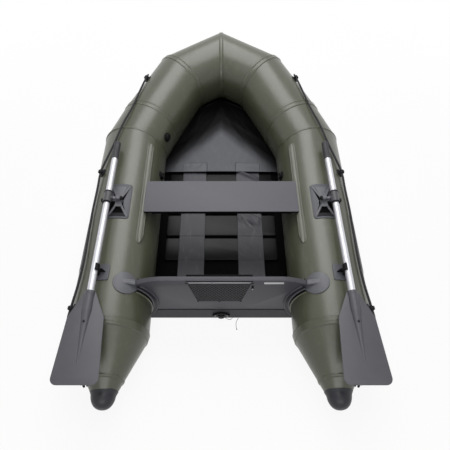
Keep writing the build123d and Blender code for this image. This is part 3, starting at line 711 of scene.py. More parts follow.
double, single = seamTape["doubleHalf"], seamTape["singleHalf"]
piece("bowSeamTape", tapeRound(bowSeamPlace, double * 0.8, True), "tape")
for name, side in sides.items():
    tapes = [
        tapeRound(lambda x, angle, lift: besideSeam(side, seam, x, angle, lift), half, half == double)
        for seam, half in ((3, double), (2, double), (1, single), (0, double))
    ]
    tapes.append(
        tapeRound(lambda x, angle, lift: skinPoint(side, -1, 0.22 + x / 0.24, angle, lift), single, False)
    )
    piece(f"{name}SeamTapes", gathered(*tapes), "tape")
print("seam tapes done")

# Cone caps: rubber cups with a rim over the cone's end
coneCap = {"rimLength": 0.016, "reach": capHigh.y - capLow.y}
for name, side in sides.items():
    radius, reach = hull["tipRadius"], coneCap["reach"]
    profile = [(0, -0.01), (radius * 0.8, -0.01), (radius + 0.006, -coneCap["rimLength"]),
               (radius + 0.0075, -coneCap["rimLength"] + 0.003), (radius + 0.001, 0.001)]
    profile += [
        (radius * cos(radians(turn)) ** 0.82, reach * sin(radians(turn)) ** 1.05) for turn in range(6, 90, 6)
    ]
    profile += [(0, reach)]
    cap = moved(turned(profile, 64), facingAft((side * hull["tip"][0], hull["tip"][1], hull["tip"][2])))
    piece(f"{name}ConeCap", cap, "cap", sharp=50)
print("cone caps done")

# Floor: bottom sheet, slats, strips and the bow apron
floorParts = {
    "sheetTop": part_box("floor_slats")[0].z,
    "slatTop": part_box("floor_slats")[1].z,
    "apronStart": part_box("bow_apron")[0].y,
    "sheetEnd": 0.945,
    "apronEnd": 0.846,
    "sheetGrip": 0.050,
    "apronGrip": 0.100,
    "sheetSag": 0.0012,
    "stripCentre": 0.158,
    "stripWidth": 0.137,
}
slatPlan = {"depth": 0.140, "gap": 0.018, "first": 0.326, "last": 0.034, "round": 0.004, "corner": 0.012,
            "margin": 0.004}
stripFold = {
    "fine": 0.0008, "slack": 0.0105, "slackY": -0.095, "slackReach": 0.065, "least": 0.0010,
    "steep": 0.015, "steepY": floorParts["apronStart"] - 0.028, "steepWidth": 0.024, "steepReach": 0.05,
    "slant": 1.6,
}
apronForm = {
    "rise": 0.004, "crown": 0.007, "fold": 0.007, "fine": 0.0012, "ridge": 0.003, "ridgeWidth": 0.09,
    "ridgeStart": 0.86, "ridgeRun": 0.95, "sink": 0.008,
}
apronTab = {"width": 0.150, "length": 0.075, "lead": 0.006, "rise": 0.0024, "curl": 0.004, "hem": 0.0022,
            "run": 0.57}


def innerHalf(y, grip):
    # half the width between the tubes' centre lines at y, less a grip on each side
    seams = hull["seams"]
    halves = [seams[0][0] - grip]
    for before, after in zip(seams[1:], seams[2:]):
        run = Vector((after[0] - before[0], after[1] - before[1])).normalized()
        halves.append(before[0] - (grip + (y - before[1]) * abs(run.x)) / run.y)
    return max(0.0, min(halves))


def floorLift(y):
    # the floor rises under the bow with the tubes
    seams = hull["seams"][1:]
    if y <= seams[0][1]:
        return 0.0
    for before, after in zip(seams, seams[1:]):
        if y <= after[1]:
            share = (y - before[1]) / (after[1] - before[1])
            return before[2] + (after[2] - before[2]) * share - tubeRadius
    return seams[-1][2] - tubeRadius


def bottomPlace(u, v):
    y = transomY + (floorParts["sheetEnd"] - transomY) * v
    half = innerHalf(y, floorParts["sheetGrip"])
    x = (2 * u - 1) * half
    sag = floorParts["sheetSag"] * noise.noise(Vector((x * 9, y * 9, 0)))
    return Vector((x, y, floorParts["sheetTop"] - 0.002 + floorLift(y) + sag))


# the bottom sheet is near black: painted shade
bottom = piece("bottomSheet", shapedGrid(60, 120, bottomPlace), "bottom")
thicken(bottom, 0.0016, -1)

slats = []
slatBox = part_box("floor_slats")
pitch = slatPlan["depth"] + slatPlan["gap"]
slatStarts = [slatPlan["last"]] + [slatPlan["first"] + number * pitch for number in range(4)]
for start in slatStarts:
    outline = roundedOutline(slatBox[1].x - slatBox[0].x, slatPlan["depth"], slatPlan["corner"])
    slat = plate(outline, slatBox[1].z - slatBox[0].z)
    soften(slat, slatPlan["round"], 3)
    y = transomY + start + slatPlan["depth"] / 2
    slats.append(shifted(slat, 0, y, slatBox[0].z))
piece("floorSlats", gathered(*slats), "slat")


def stripWrinkle(x, y, side):
    # soft slanting folds; the starboard strip lies slack about the bench, with one steep fold ahead of it
    ahead = y - stripFold["steepY"]
    slanted = x - floorParts["stripCentre"] * side + stripFold["slant"] * ahead
    fine = noise.noise(Vector((x * 22 + y * 8, y * 16 - x * 10, side * 5.0)))
    if side < 0:
        return stripFold["fine"] * (0.5 + fine)
    bench = (y - stripFold["slackY"]) / stripFold["slackReach"]
    slack = stripFold["slack"] * exp(-bench ** 2) + stripFold["least"]
    crease = noise.noise(Vector(((x + y) * 34, (y - x) * 9, 3.0)))
    steep = exp(-(slanted / stripFold["steepWidth"]) ** 2) * exp(-(ahead / stripFold["steepReach"]) ** 4)
    return slack * (0.25 + 0.9 * crease + 0.2 * fine) + stripFold["steep"] * steep


for name, side in sides.items():
    low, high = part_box(f"{name}_floor_strip")

    def stripPlace(u, v):
        x, y = low.x + (high.x - low.x) * u, low.y + (high.y - low.y) * v
        edge = min(1.0, min(u, 1 - u) * 8)
        margin, depth = slatPlan["margin"], slatPlan["depth"]
        over = any(transomY + start - margin < y < transomY + start + depth + margin for start in slatStarts)
        ease = max(0.0, stripWrinkle(x, y, side)) * (0.3 + 0.7 * edge)
        return Vector((x, y, high.z + ease + 0.0004 - (0.0 if over else 0.0012)))

    strip = piece(
        f"{name}FloorStrip", shapedGrid(48, 260, stripPlace), "strip",
    )
    thicken(strip, 0.0014, -1)


def apronPlace(u, v):
    form = apronForm
    y = floorParts["apronStart"] + (floorParts["apronEnd"] - floorParts["apronStart"]) * v
    half = innerHalf(y, floorParts["apronGrip"])
    across = 2 * u - 1
    x = across * half
    crown = form["crown"] * (1 - across ** 2)
    fade = min(1.0, (1 - abs(across)) * 6) * min(1.0, v * 12)
    fold = abs(across) - (form["ridgeStart"] - form["ridgeRun"] * v)
    ridge = form["ridge"] * exp(-(fold / form["ridgeWidth"]) ** 2) * min(1.0, v * 5)
    ridge -= form["sink"] * max(0.0, min(1.0, fold * 3))
    cloud = noise.noise(Vector((x * 7 - abs(across) * 2, y * 16 + abs(x) * 12, 2.0)))
    fine = noise.noise(Vector((x * 26, y * 34 + abs(x) * 30, 6.0)))
    folds = form["fold"] * max(0.0, cloud - 0.05) * (0.4 + abs(across)) + form["fine"] * fine
    ground = floorParts["slatTop"] + form["rise"] + floorLift(y)
    return Vector((x, y, ground + crown + (folds + ridge) * fade))


apron = piece("bowApron", shapedGrid(110, 90, apronPlace), "floor")
thicken(apron, 0.0015, -1)
tabs = []
for name, side in sides.items():
    def tabPlace(u, v):
        x = side * floorParts["stripCentre"] + (u - 0.5) * apronTab["width"]
        y = floorParts["apronStart"] - apronTab["lead"] + apronTab["length"] * v
        across = x / innerHalf(y, floorParts["apronGrip"])
        ground = apronPlace((across + 1) / 2, max(0.0, (y - floorParts["apronStart"]) / apronTab["run"]))
        inward = min(apronTab["width"] * min(u, 1 - u), apronTab["length"] * (1 - v))
        hem = apronTab["hem"] * exp(-((inward - 0.003) / 0.0016) ** 2)
        rise = min(1.0, inward / 0.0015) * apronTab["rise"] + apronTab["curl"] * (1 - v) ** 2
        return Vector((x, y, ground.z + 0.0006 + rise + hem))

    tabs.append(shapedGrid(110, 56, tabPlace))
tab = piece("apronTabs", gathered(*tabs), "tab")
print("floor done")

# Transom board, its rubber channels and the hem of the bottom sheet
board = {
    "thickness": 0.024, "top": 0.360, "bottom": 0.021, "flat": 0.260, "earX": 0.37195, "earTop": 0.3307,
    "channel": 0.005, "lip": 0.031, "lipWall": 0.006, "channelWidth": 0.072, "arc": (133.98, 227.99),
    "foot": 0.005, "inset": 0.0035,
}
tubeX = hull["seams"][0][0]


def boardOutline():
    half = [(0, board["bottom"])]
    reach = tubeRadius + board["channel"]
    drop = (reach ** 2 - (board["earX"] - tubeX) ** 2) ** 0.5
    half.append((board["earX"], board["bottom"]))
    start = degrees(asin(drop / reach))
    for step in range(25):
        turn = radians(180 + start - 2 * start * step / 24)
        half.append((tubeX + reach * cos(turn), tubeRadius + reach * sin(turn)))
    half.append((board["earX"], board["earTop"]))
    run = board["earX"] - board["flat"]
    for step in range(1, 12):
        share = step / 12
        ease = 3 * share ** 2 - 2 * share ** 3
        climb = 0.25 * ease + 0.75 * (1 - (1 - share) ** 2)
        half.append((board["earX"] - run * share, board["earTop"] + (board["top"] - board["earTop"]) * climb))
    half.append((board["flat"], board["top"]))
    mirror = [(-x, z) for x, z in reversed(half[1:])]
    return half + mirror


work = plate(boardOutline(), board["thickness"])
soften(work, 0.003, 3, corner=50)
moved(work, Matrix.Translation((0, transomY + board["thickness"], 0)) @ Matrix.Rotation(radians(90), 4, "X"))
piece("transomBoard", work, "board", sharp=40)


def turnedArc(profile, start, end, steps):
    # radii and places along an axis spun part of the way round Z, with closed ends
    work = bmesh.new()
    across, up = cos(radians(start)), sin(radians(start))
    verts = [work.verts.new((radius * across, radius * up, height)) for radius, height in profile]
    edges = [work.edges.new(pair) for pair in zip(verts, verts[1:] + verts[:1])]
    bmesh.ops.spin(
        work, geom=verts + edges, cent=(0, 0, 0), axis=(0, 0, 1), angle=radians(end - start), steps=steps,
        use_merge=False,
    )
    capped(work)
    return work


def roundTube(side, y):
    # X outboard, Y up and Z along the tube, at a place on the side tube
    return Matrix.Translation((side * tubeX, y, tubeRadius)) @ upright(side)


for name, side in sides.items():
    skin, flap = tubeRadius - 0.001, tubeRadius + board["channel"]
    reach, wallIn = tubeRadius + board["lip"], board["lipWall"]
    front, back = transomY + board["thickness"], transomY
    half = board["channelWidth"] / 2
    middle = (front + back) / 2
    foot, wallY = board["foot"], back - middle - wallIn
    aft = [
        (skin, -half), (flap - 0.0022, -half), (flap - 0.0002, -half + 0.0012),
        (flap + 0.0002, -half + 0.0030),
        (flap - 0.0010, -half + 0.0048), (flap - 0.0024, -half + 0.0062), (flap - 0.0026, -half + 0.0110),
        (flap - 0.0016, wallY - board["inset"]), (flap + 0.0012, wallY - board["inset"] - 0.0006),
        (flap + foot - 0.0010, wallY - 0.0020), (flap + foot, wallY),
        (reach - 0.0062, wallY), (reach - 0.0048, wallY - 0.0016),
        (reach - 0.0022, wallY - 0.0018), (reach, back - middle - wallIn / 2),
        (reach - 0.0016, back - middle),
        (flap, back - middle),
    ]
    profile = aft + [(radius, -place) for radius, place in reversed(aft)]
    work = turnedArc(profile, *board["arc"], 64)
    # the flap between the tube and the wall is painted black as shade in the fillet; the lip's edges are
    # painted lighter grey as highlights, and the flap's rolled ends a lighter olive, its own olive with a
    # painted highlight
    for face in work.faces:
        place = face.calc_center_median()
        radius, off = hypot(place.x, place.y), abs(place.z)
        if off > half - 0.0055:
            face.material_index = 3
        elif radius > reach - 0.0056 or flap + 0.0006 < radius < flap + foot + 0.0004:
            face.material_index = 1
        elif radius < flap + 0.0006:
            face.material_index = 2
    moved(work, roundTube(side, middle))
    piece(
        f"{name}TransomHolder", work, ("holder", "lip", "black", "bead"), sharp=50,
    )

skirtFoot, skirtTop = (corner.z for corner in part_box("transom_skirt"))


def skirtPlace(u, v):
    z = skirtFoot + (skirtTop - skirtFoot) * v
    reach = tubeRadius + board["lip"] + 0.001
    half = min(board["earX"] - 0.006, tubeX - (reach ** 2 - (z - tubeRadius) ** 2) ** 0.5)
    x = (2 * u - 1) * half
    hem = 0.0008 if v > 0.93 else 0.0
    ripple = 0.0006 * noise.noise(Vector((x * 12, z * 20, 1.0))) ** 2
    return Vector((x, transomY - 0.0004 - hem - ripple, z))


skirt = piece("transomSkirt", shapedGrid(90, 28, skirtPlace), "skirt")
thicken(skirt, 0.0014, 1)

# Ears: a round patch on each tube, drawn out to a flat tongue in line with the board's top
ear = {
    "radius": 0.053, "angle": 116, "rise": 0.005, "pull": 0.30, "depth": 0.021, "streak": 0.0055,
    "endAngle": 106, "endDepth": 0.012, "under": (0.395, 0.318), "ribWidth": 0.0030,
}
for name, side in sides.items():
    outline = []
    for x, y in circleOutline(ear["radius"], 72):
        near = max(0.0, 1 - abs(x) / ear["radius"])
        outline.append((x, y * (1 + (ear["pull"] * near ** 1.5 if y > 0 else 0.0))))
    disc = soften(plate(outline, ear["rise"] + 0.001), 0.002, 3)
    sliced(disc, 0.007, 1)
    shifted(disc, 0, 0, -0.001)
    bent(disc, side, 0, onTube(transomY) + board["thickness"] / 4, ear["angle"])
    over = skinAlong(1, 0, 0, ear["angle"], 0.008)
    far = skinAlong(1, 0, 0, ear["endAngle"], 0.003)
    root = (board["earX"], board["earTop"] - ear["depth"])
    top = [(board["earX"], board["earTop"])]
    for step in range(1, 9):
        share = step / 8
        top.append((board["earX"] + (over.x - board["earX"]) * share,
                    board["earTop"] + (over.z - board["earTop"]) * (0.75 * share + 0.25 * share ** 0.5)))
    outline = [root, *top, (far.x, far.z), (far.x, far.z - ear["endDepth"]), ear["under"]]
    tongue = plate(outline, board["thickness"])
    soften(tongue, 0.0022, 3, corner=45)
    moved(tongue, Matrix.Translation((0, transomY, 0)) @ upright(side))
    ribs = []
    for across in (-ear["streak"], ear["streak"]):
        rib = plate([(x, z + 0.0009) for x, z in top] + [(x, z - 0.002) for x, z in reversed(top)],
                    ear["ribWidth"])
        soften(rib, 0.0008, 2, corner=45)
        y = transomY + (board["thickness"] - ear["ribWidth"]) / 2 + across
        ribs.append(moved(rib, Matrix.Translation((0, y, 0)) @ upright(side)))
    piece(
        f"{name}TransomEar", gathered(disc, tongue, *ribs), "ear", sharp=50,
    )
print("transom done")

# Bench: a board with rounded corners, dark edges, and a batten under each long side
benchLow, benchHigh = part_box("bench_board")
bench = {"thickness": 0.012, "corner": 0.008, "round": 0.0022, "batten": 0.020, "battenHalf": 0.3363,
         "edgeGrip": 0.25}
size = benchHigh - benchLow
centre = (benchLow + benchHigh) / 2
work = soften(plate(roundedOutline(size.x, size.y, bench["corner"]), bench["thickness"]), bench["round"], 3)
painted(work, 1, lambda face: face.normal.z < bench["edgeGrip"])
shifted(work, centre.x, centre.y, benchHigh.z - bench["thickness"])
battens = []
for y in (benchLow.y + bench["batten"] / 2 + 0.0005, benchHigh.y - bench["batten"] / 2 - 0.0005):
    outline = roundedOutline(2 * bench["battenHalf"], bench["batten"], 0.002)
    batten = plate(outline, size.z - bench["thickness"] + 0.001)
    soften(batten, 0.0012, 2)
    battens.append(shifted(painted(batten, 1), 0, y, benchLow.z))
seat = piece("benchBoard", gathered(work, *battens), ("bench", "benchEdge"), "bench")
print("bench done")

# Motor pads: a rimmed outer one with a raised lattice, and a plain inner one
motorPad = {
    "middle": -0.008, "top": 0.3595, "bottom": 0.186, "topHalf": 0.144, "bottomHalf": 0.102, "outer": 0.007,
    "inner": 0.009, "rim": 0.005, "rimRise": 0.002, "pitch": 0.0160, "bar": 0.0012, "lineRise": 0.0013,
    "barCount": 16,
    "screws": ((-0.1400, 0.3515), (0.1400, 0.3515), (0.0, 0.189), (-0.098, 0.190), (0.098, 0.190)),
    "screw": 0.0075, "smallScrew": 0.004,
}


def padOutline(inset=0.0):
    slope = (motorPad["topHalf"] - motorPad["bottomHalf"]) / (motorPad["top"] - motorPad["bottom"])
    top, low = motorPad["top"] - inset, motorPad["bottom"] + inset
    side = inset * hypot(1, slope)

    def half(z):
        return motorPad["bottomHalf"] + (z - motorPad["bottom"]) * slope - side

    return [(-half(top), top), (half(top), top), (half(low), low), (-half(low), low)]


def capRibs(count, radius, middle, height, width):
    # upright ribs round a cap
    ribs = []
    for step in range(count):
        turn = 2 * pi * step / count
        out = Vector((cos(turn), sin(turn), 0))
        rib = soften(plate(roundedOutline(height, width, 0.001), 0.0012), 0.0004, 1)
        ribs.append(moved(rib, pointing(out * radius + Vector((0, 0, middle)), out, (0, 0, 1))))
    return ribs


def ontoAft(work, y, x=0.0):
    # X stays and Y goes up, with Z out astern
    return moved(work, Matrix.Translation((x, y, 0)) @ Matrix.Rotation(radians(90), 4, "X"))


def withinOutline(work, outline):
    # cuts away what lies outside a flat outline
    for first, second in zip(outline, outline[1:] + outline[:1]):
        along = Vector((second[0] - first[0], second[1] - first[1], 0)).normalized()
        bmesh.ops.bisect_plane(
            work, geom=work.verts[:] + work.edges[:] + work.faces[:], dist=1e-6,
            plane_co=(*first, 0), plane_no=(-along.y, along.x, 0), clear_outer=True,
        )
    return work


level = motorPad["outer"] - motorPad["rimRise"]
base = plate(padOutline(), level)
rimmed = bmesh.ops.inset_region(
    base, faces=[face for face in base.faces if face.normal.z > 0.9], thickness=motorPad["rim"], depth=0.0
)
rim = [face for face in base.faces if face.normal.z > 0.9 and face in rimmed["faces"]]
raised = bmesh.ops.extrude_face_region(base, geom=rim)["geom"]
verts = [item for item in raised if isinstance(item, bmesh.types.BMVert)]
bmesh.ops.translate(base, verts=verts, vec=(0, 0, motorPad["rimRise"]))
bmesh.ops.recalc_face_normals(base, faces=base.faces)
soften(base, 0.0008, 2)
painted(base, 1, lambda face: face.calc_center_median().z > level + 0.0004)
bars = []
span = motorPad["top"] - motorPad["bottom"]
middle = (motorPad["top"] + motorPad["bottom"]) / 2
for slant in (-1, 1):
    for number in range(-motorPad["barCount"], motorPad["barCount"] + 1):
        thick = motorPad["bar"]
        bar = plate([(-thick, -span), (thick, -span), (thick, span), (-thick, span)], motorPad["lineRise"])
        soften(bar, 0.0005, 1)
        moved(bar, Matrix.Rotation(radians(slant * 45), 4, "Z"))
        shifted(bar, number * motorPad["pitch"], middle, level - 0.0001)
        bars.append(withinOutline(bar, padOutline(motorPad["rim"])))
lattice = painted(gathered(*bars), 2)
piece(
    "motorPadOuter", ontoAft(gathered(base, lattice), transomY, motorPad["middle"]),
    ("motorPad", "pad", "diamond"),
    sharp=20, outward=False,
)
inner = soften(plate(padOutline(), motorPad["inner"]), 0.0018, 2)
moved(inner, Matrix.Translation((motorPad["middle"], transomY + board["thickness"], 0)) @ upright())
piece("motorPadInner", inner, "motorPad")


aftFittings = {
    "topLine": ((-0.1325, 0.3535), (0.1325, 0.3535), (0.1335, 0.3592), (-0.1335, 0.3592)), "litTopDeep": 0.0040,
    "rivet": (0.349, 0.3155), "rivetRadius": 0.0045,
    "label": ((0.185, 0.3345), (0.2705, 0.3345), (0.2705, 0.3485), (0.185, 0.3485)), "labelDeep": 0.0008,
    "hook": (0.1375, 0.304),
}


def screwHead(radius, rise):
    # a domed head
    return turned([(0, rise), (radius * 0.5, rise * 0.92), (radius * 0.85, rise * 0.6), (radius, 0.0),
                   (radius, -0.001),
                   (0, -0.001)], 20)


screws = []
for x, z in motorPad["screws"]:
    place = (x + motorPad["middle"], transomY - motorPad["outer"], z)
    screws.append(moved(screwHead(motorPad["screw" if z > 0.3 else "smallScrew"], 0.002), facingAft(place)))
piece("padScrews", gathered(*screws), "black")
# a light grey strip along the outer pad's top edge: a painted highlight standing for the pad's lit top face
litTop = soften(plate(aftFittings["topLine"], aftFittings["litTopDeep"]), 0.0010, 2)
piece("padTopLine", ontoAft(litTop, transomY - motorPad["outer"] + 0.0010, motorPad["middle"]), "pin")
x, z = aftFittings["rivet"]
rivets = [
    moved(screwHead(aftFittings["rivetRadius"], 0.002), facingAft((side * x, transomY, z)))
    for side in sides.values()
]
piece("transomRivets", gathered(*rivets), "label")
label = soften(plate(aftFittings["label"], aftFittings["labelDeep"]), 0.0003, 2)
piece("blankLabel", ontoAft(label, transomY), "label")
hookPin = turned([(0, 0.008), (0.003, 0.0075), (0.0035, 0.006), (0.0035, 0.0), (0, 0.0)], 20)
hook = gathered(
    soften(plate(roundedOutline(0.010, 0.030, 0.004), 0.003), 0.0008, 2),
    shifted(hookPin, 0, 0.007, 0.002),
    painted(shifted(screwHead(0.0036, 0.0018), 0, -0.0095, 0.003), 1),
)
piece(
    "lineHook", ontoAft(shifted(hook, *aftFittings["hook"], 0), transomY), ("black", "label"),
)

# Drain: an oval body through the hem, with a screw plug
drain = {"height": 0.046, "half": 0.040, "radius": 0.017, "rise": 0.004, "cap": 0.011, "hood": 0.0060,
         "hoodDeep": 0.009, "hoodHalf": 0.042, "hoodFoot": 0.006, "hoodCrown": 0.022, "bolt": 0.030}
aft = transomY - 0.002


def slotOutline(half, radius, steps=12):
    points = []
    for side, start in ((1, -90), (-1, 90)):
        for step in range(steps + 1):
            turn = radians(start + 180 * step / steps)
            points.append((side * (half - radius) + radius * cos(turn), radius * sin(turn)))
    return points


body = painted(soften(plate(slotOutline(drain["half"], 0.020), drain["rise"]), 0.0012, 2), 1)
shifted(body, 0, drain["height"], 0)
outer, inner = [], []
for step in range(21):
    x = -1 + 2 * step / 20
    crown = drain["hoodFoot"] + drain["hoodCrown"] * (1 - x ** 2)
    outer.append((x * drain["hoodHalf"], crown))
    inner.append((x * (drain["hoodHalf"] - 0.002), crown - drain["hoodDeep"]))
hood = soften(plate(outer[::-1] + inner, drain["rise"] + drain["hood"]), 0.001, 2)
shifted(hood, 0, drain["height"], 0)
bolts = [
    painted(shifted(screwHead(0.0038, 0.0018), x, drain["height"] - 0.005, drain["rise"]), 2)
    for x in (-drain["bolt"], drain["bolt"])
]
piece(
    "drainValve", ontoAft(gathered(body, hood, *bolts), aft), ("black", "skirt", "label"),
)
radius, cap = drain["radius"], drain["cap"]
plug = turned([(0, cap), (radius * 0.45, cap), (radius * 0.5, cap - 0.003), (radius * 0.82, cap - 0.003),
               (radius * 0.94, cap - 0.001), (radius, cap - 0.004), (radius, 0.0), (0, 0)], 40)
grips = capRibs(10, radius - 0.0004, cap / 2 - 0.001, cap - 0.007, 0.003)
work = shifted(gathered(plug, *grips), 0, drain["height"], drain["rise"])
piece("drainPlug", ontoAft(work, aft), "black")
print("transom fittings done")


def repaint(node, finish):
    # a carried node in another finish
    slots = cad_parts[node].data.materials
    slots.clear()
    slots.append(finishes[finish])


# Seat rails: a rubber bead on a fin, on a flap glued to the tube
rail = {
    "angle": 128, "flapHalf": 0.014, "flap": 0.0019, "bead": 0.0041, "reach": 0.019, "lean": 37,
    "fin": 0.0015,
    "taper": 0.040,
}


def railSection(steps=10):
    # distance round the tube and height off it: the flap, then up the leaning fin and round the bead
    flap, half = rail["flap"], rail["flapHalf"]
    ahead = Vector((sin(radians(rail["lean"])), cos(radians(rail["lean"]))))
    back = Vector((-ahead.y, ahead.x))
    near, far = 0.0036, rail["reach"] - rail["bead"] * 0.94
    section = [(-half, -0.001), (-half, flap * 0.6), (-half + 0.0015, flap), (-0.0060, flap)]
    section += [tuple(ahead * near + back * rail["fin"] * 1.6), tuple(ahead * far + back * rail["fin"])]
    for step in range(steps + 1):
        turn = radians(200 - 400 * step / steps) * 0.8
        reach = rail["reach"] + rail["bead"] * cos(turn)
        section.append(tuple(ahead * reach + back * rail["bead"] * sin(turn)))
    section += [tuple(ahead * far - back * rail["fin"]), tuple(ahead * near * 1.4 - back * rail["fin"] * 1.2)]
    return section + [(0.0085, flap), (half - 0.0015, flap), (half, flap * 0.6), (half, -0.001)]


for name, side in sides.items():
    low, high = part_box(f"{name}_seat_rail")
    section = railSection()
    section = section + section[:1]

    def railPlace(u, v):
        across, lift = section[round(u * (len(section) - 1))]
        y = low.y + (high.y - low.y) * v
        near = min(y - low.y, high.y - y) / rail["taper"]
        share = min(1.0, near) ** 0.7
        if lift > rail["flap"] * 1.01:
            lift = rail["flap"] + (lift - rail["flap"]) * share
            across = across * (0.3 + 0.7 * share)
        else:
            across *= 0.35 + 0.65 * min(1.0, near * 2.5) ** 0.5
        wave = 0.0007 * noise.noise(Vector((y * 22, side * 4.0, 0.0)))
        return skinAlong(side, 0, onTube(y), rail["angle"] + degrees((across + wave) / tubeRadius), lift)

    work = shapedGrid(len(section) - 1, 150, railPlace)
    capped(work)
    piece(f"{name}SeatRail", work, "tape", sharp=50)
    repaint(f"{name}_bench_runner", "black")
print("seat rails done")

# Oars
oar = {
    "x": 0.543, "z": 0.385, "shaft": 0.015, "gripEnd": 0.829, "gripJoint": 0.705, "shaftEnd": -0.072,
    "joint": 0.196, "collar": 0.0195, "collarLength": 0.071, "oarlock": 0.447, "socket": 0.0205,
    "neckHalf": 0.024, "shoulderHalf": 0.074, "shoulderDrop": 0.112, "bladeHalf": 0.090, "bladeEnd": -0.458,
    "bladeThickness": 0.006, "bladeCorner": 0.026, "spineEnd": 0.330, "button": 0.0045, "buttonDrop": 0.135,
    "gripRadius": 0.0170, "gripGroove": 0.0160, "gripRings": 9,
}


def alongOar(side, y):
    # Z runs aft along the oar from a place measured ahead of the transom
    return facingAft((side * oar["x"], transomY + y, oar["z"]))


def bladeOutline():
    # from the neck round the blade, with X across and Y aft of the shaft's end
    reach = oar["shaftEnd"] - oar["bladeEnd"]
    half = [(oar["neckHalf"], -0.004), (oar["shoulderHalf"], oar["shoulderDrop"])]
    corner = oar["bladeCorner"]
    for step in range(9):
        turn = radians(90 * step / 8)
        half.append((oar["bladeHalf"] - corner + corner * cos(turn), reach - corner + corner * sin(turn)))
    return half + [(-x, y) for x, y in reversed(half)]


def spinePlace(u, v):
    # the socket and the spine that tapers along the blade
    end = oar["spineEnd"]
    y = -0.004 + (end + 0.004) * v
    full, thin = oar["socket"], 0.0032
    share = 0.0 if y < 0.085 else ((y - 0.085) / (end - 0.085)) ** 0.75
    radius = full + (thin - full) * share
    if y < 0.012:
        radius += 0.0014
    turn = 2 * pi * u
    flat = 1.0 - 0.25 * share
    return Vector((radius * cos(turn), y, radius * flat * sin(turn)))


for name, side in sides.items():
    body = f"{name}_oar"
    length = oar["gripJoint"] - oar["shaftEnd"]
    seam = oar["gripJoint"] - oar["joint"]
    radius, groove = oar["shaft"], oar["shaft"] - 0.0007
    profile = [(0, -0.03), (radius, -0.03), (radius, seam - 0.0012), (groove, seam - 0.0008),
               (groove, seam + 0.0008), (radius, seam + 0.0012), (radius, length), (0, length)]
    shaft = moved(turned(profile, 48), alongOar(side, oar["gripJoint"]))
    piece(f"{name}OarShaft", shaft, "aluminium", body, sharp=30)

    length = oar["gripEnd"] - oar["gripJoint"]
    full, groove, rings = oar["gripRadius"], oar["gripGroove"], oar["gripRings"]
    profile = [(0, 0), (0.009, 0.0006), (0.0145, 0.003), (0.0168, 0.007), (full, 0.012)]
    for ring in range(rings):
        place = 0.018 + ring * (length - 0.036) / (rings - 1)
        profile += [(full, place - 0.0022), (groove, place - 0.0008), (groove, place + 0.0008),
                    (full, place + 0.0022)]
    profile += [(full, length - 0.004), (0.0164, length), (0.0152, length)]
    grip = moved(turned(profile, 40), alongOar(side, oar["gripEnd"]))
    piece(f"{name}OarGrip", grip, "grip", body, sharp=40)

    outline = [(x, -y) for x, y in bladeOutline()]
    outline.reverse()
    blade = soften(plate(outline, oar["bladeThickness"]), 0.0022, 3, corner=60)
    shifted(blade, 0, 0, -oar["bladeThickness"] / 2)
    spine = shapedGrid(40, 60, lambda u, v: spinePlace(u, v) * Vector((1, -1, 1)))
    capped(spine)
    button = turned([(0, 0.003), (0.002, 0.0028), (0.0036, 0.0018), (oar["button"], 0),
                     (oar["button"], -0.003), (0, -0.003)], 20)
    shifted(button, 0, -oar["buttonDrop"], 0.0165)
    place = Matrix.Translation((side * oar["x"], transomY + oar["shaftEnd"], oar["z"]))
    piece(f"{name}OarBlade", moved(gathered(blade, spine), place), "blade", body, sharp=40)
    piece(f"{name}OarButton", moved(button, place), "black", body)
print("oars done")

# Oarlocks: a glued pad, a ribbed foot, a turning head, and the collar on the oar
oarlock = {
    "padWidth": 0.110, "padLength": 0.215, "padCorner": 0.016, "padRise": 0.004, "padAhead": 0.009,
    "y": transomY + oar["oarlock"], "seat": 0.019, "boss": 0.017, "arm": 0.0105, "armInset": 0.009,
    "shadePatchRise": 0.0054, "head": 0.013, "headTop": 0.394, "pin": 0.0065, "knob": 0.010, "knobReach": 0.008,
    "shadePatches": (
        (1, ((-0.026, -0.012), (-0.026, 0.012), (-0.069, 0.033), (-0.069, -0.033))),
        (2, ((-0.069, -0.033), (-0.069, 0.033), (-0.088, 0.042), (-0.088, -0.042))),
        (1, ((0.006, 0.012), (0.052, 0.016), (0.106, 0.046), (0.010, 0.020))),
        (1, ((0.006, -0.012), (0.052, -0.016), (0.106, -0.046), (0.010, -0.020))),
        (1, ((0.004, -0.014), (0.004, -0.040), (-0.030, -0.044), (-0.070, -0.046), (-0.012, -0.014))),
        (1, ((0.006, 0.016), (-0.020, 0.016), (-0.052, 0.034), (-0.020, 0.022), (0.006, 0.021))),
    ),
}


def gluedPad(side, distance, angle, length, width, corner, rise, round=0.0016):
    # a rubber pad bent to the tube, its edge rounded
    pad = soften(plate(roundedOutline(length, width, corner), rise + 0.001), round, 3)
    sliced(pad, 0.008, 1)
    shifted(pad, 0, 0, -0.001)
    return bent(pad, side, 0, distance, angle)


def padTop(x):
    return tubeRadius + ((tubeRadius + oarlock["padRise"]) ** 2 - x ** 2) ** 0.5


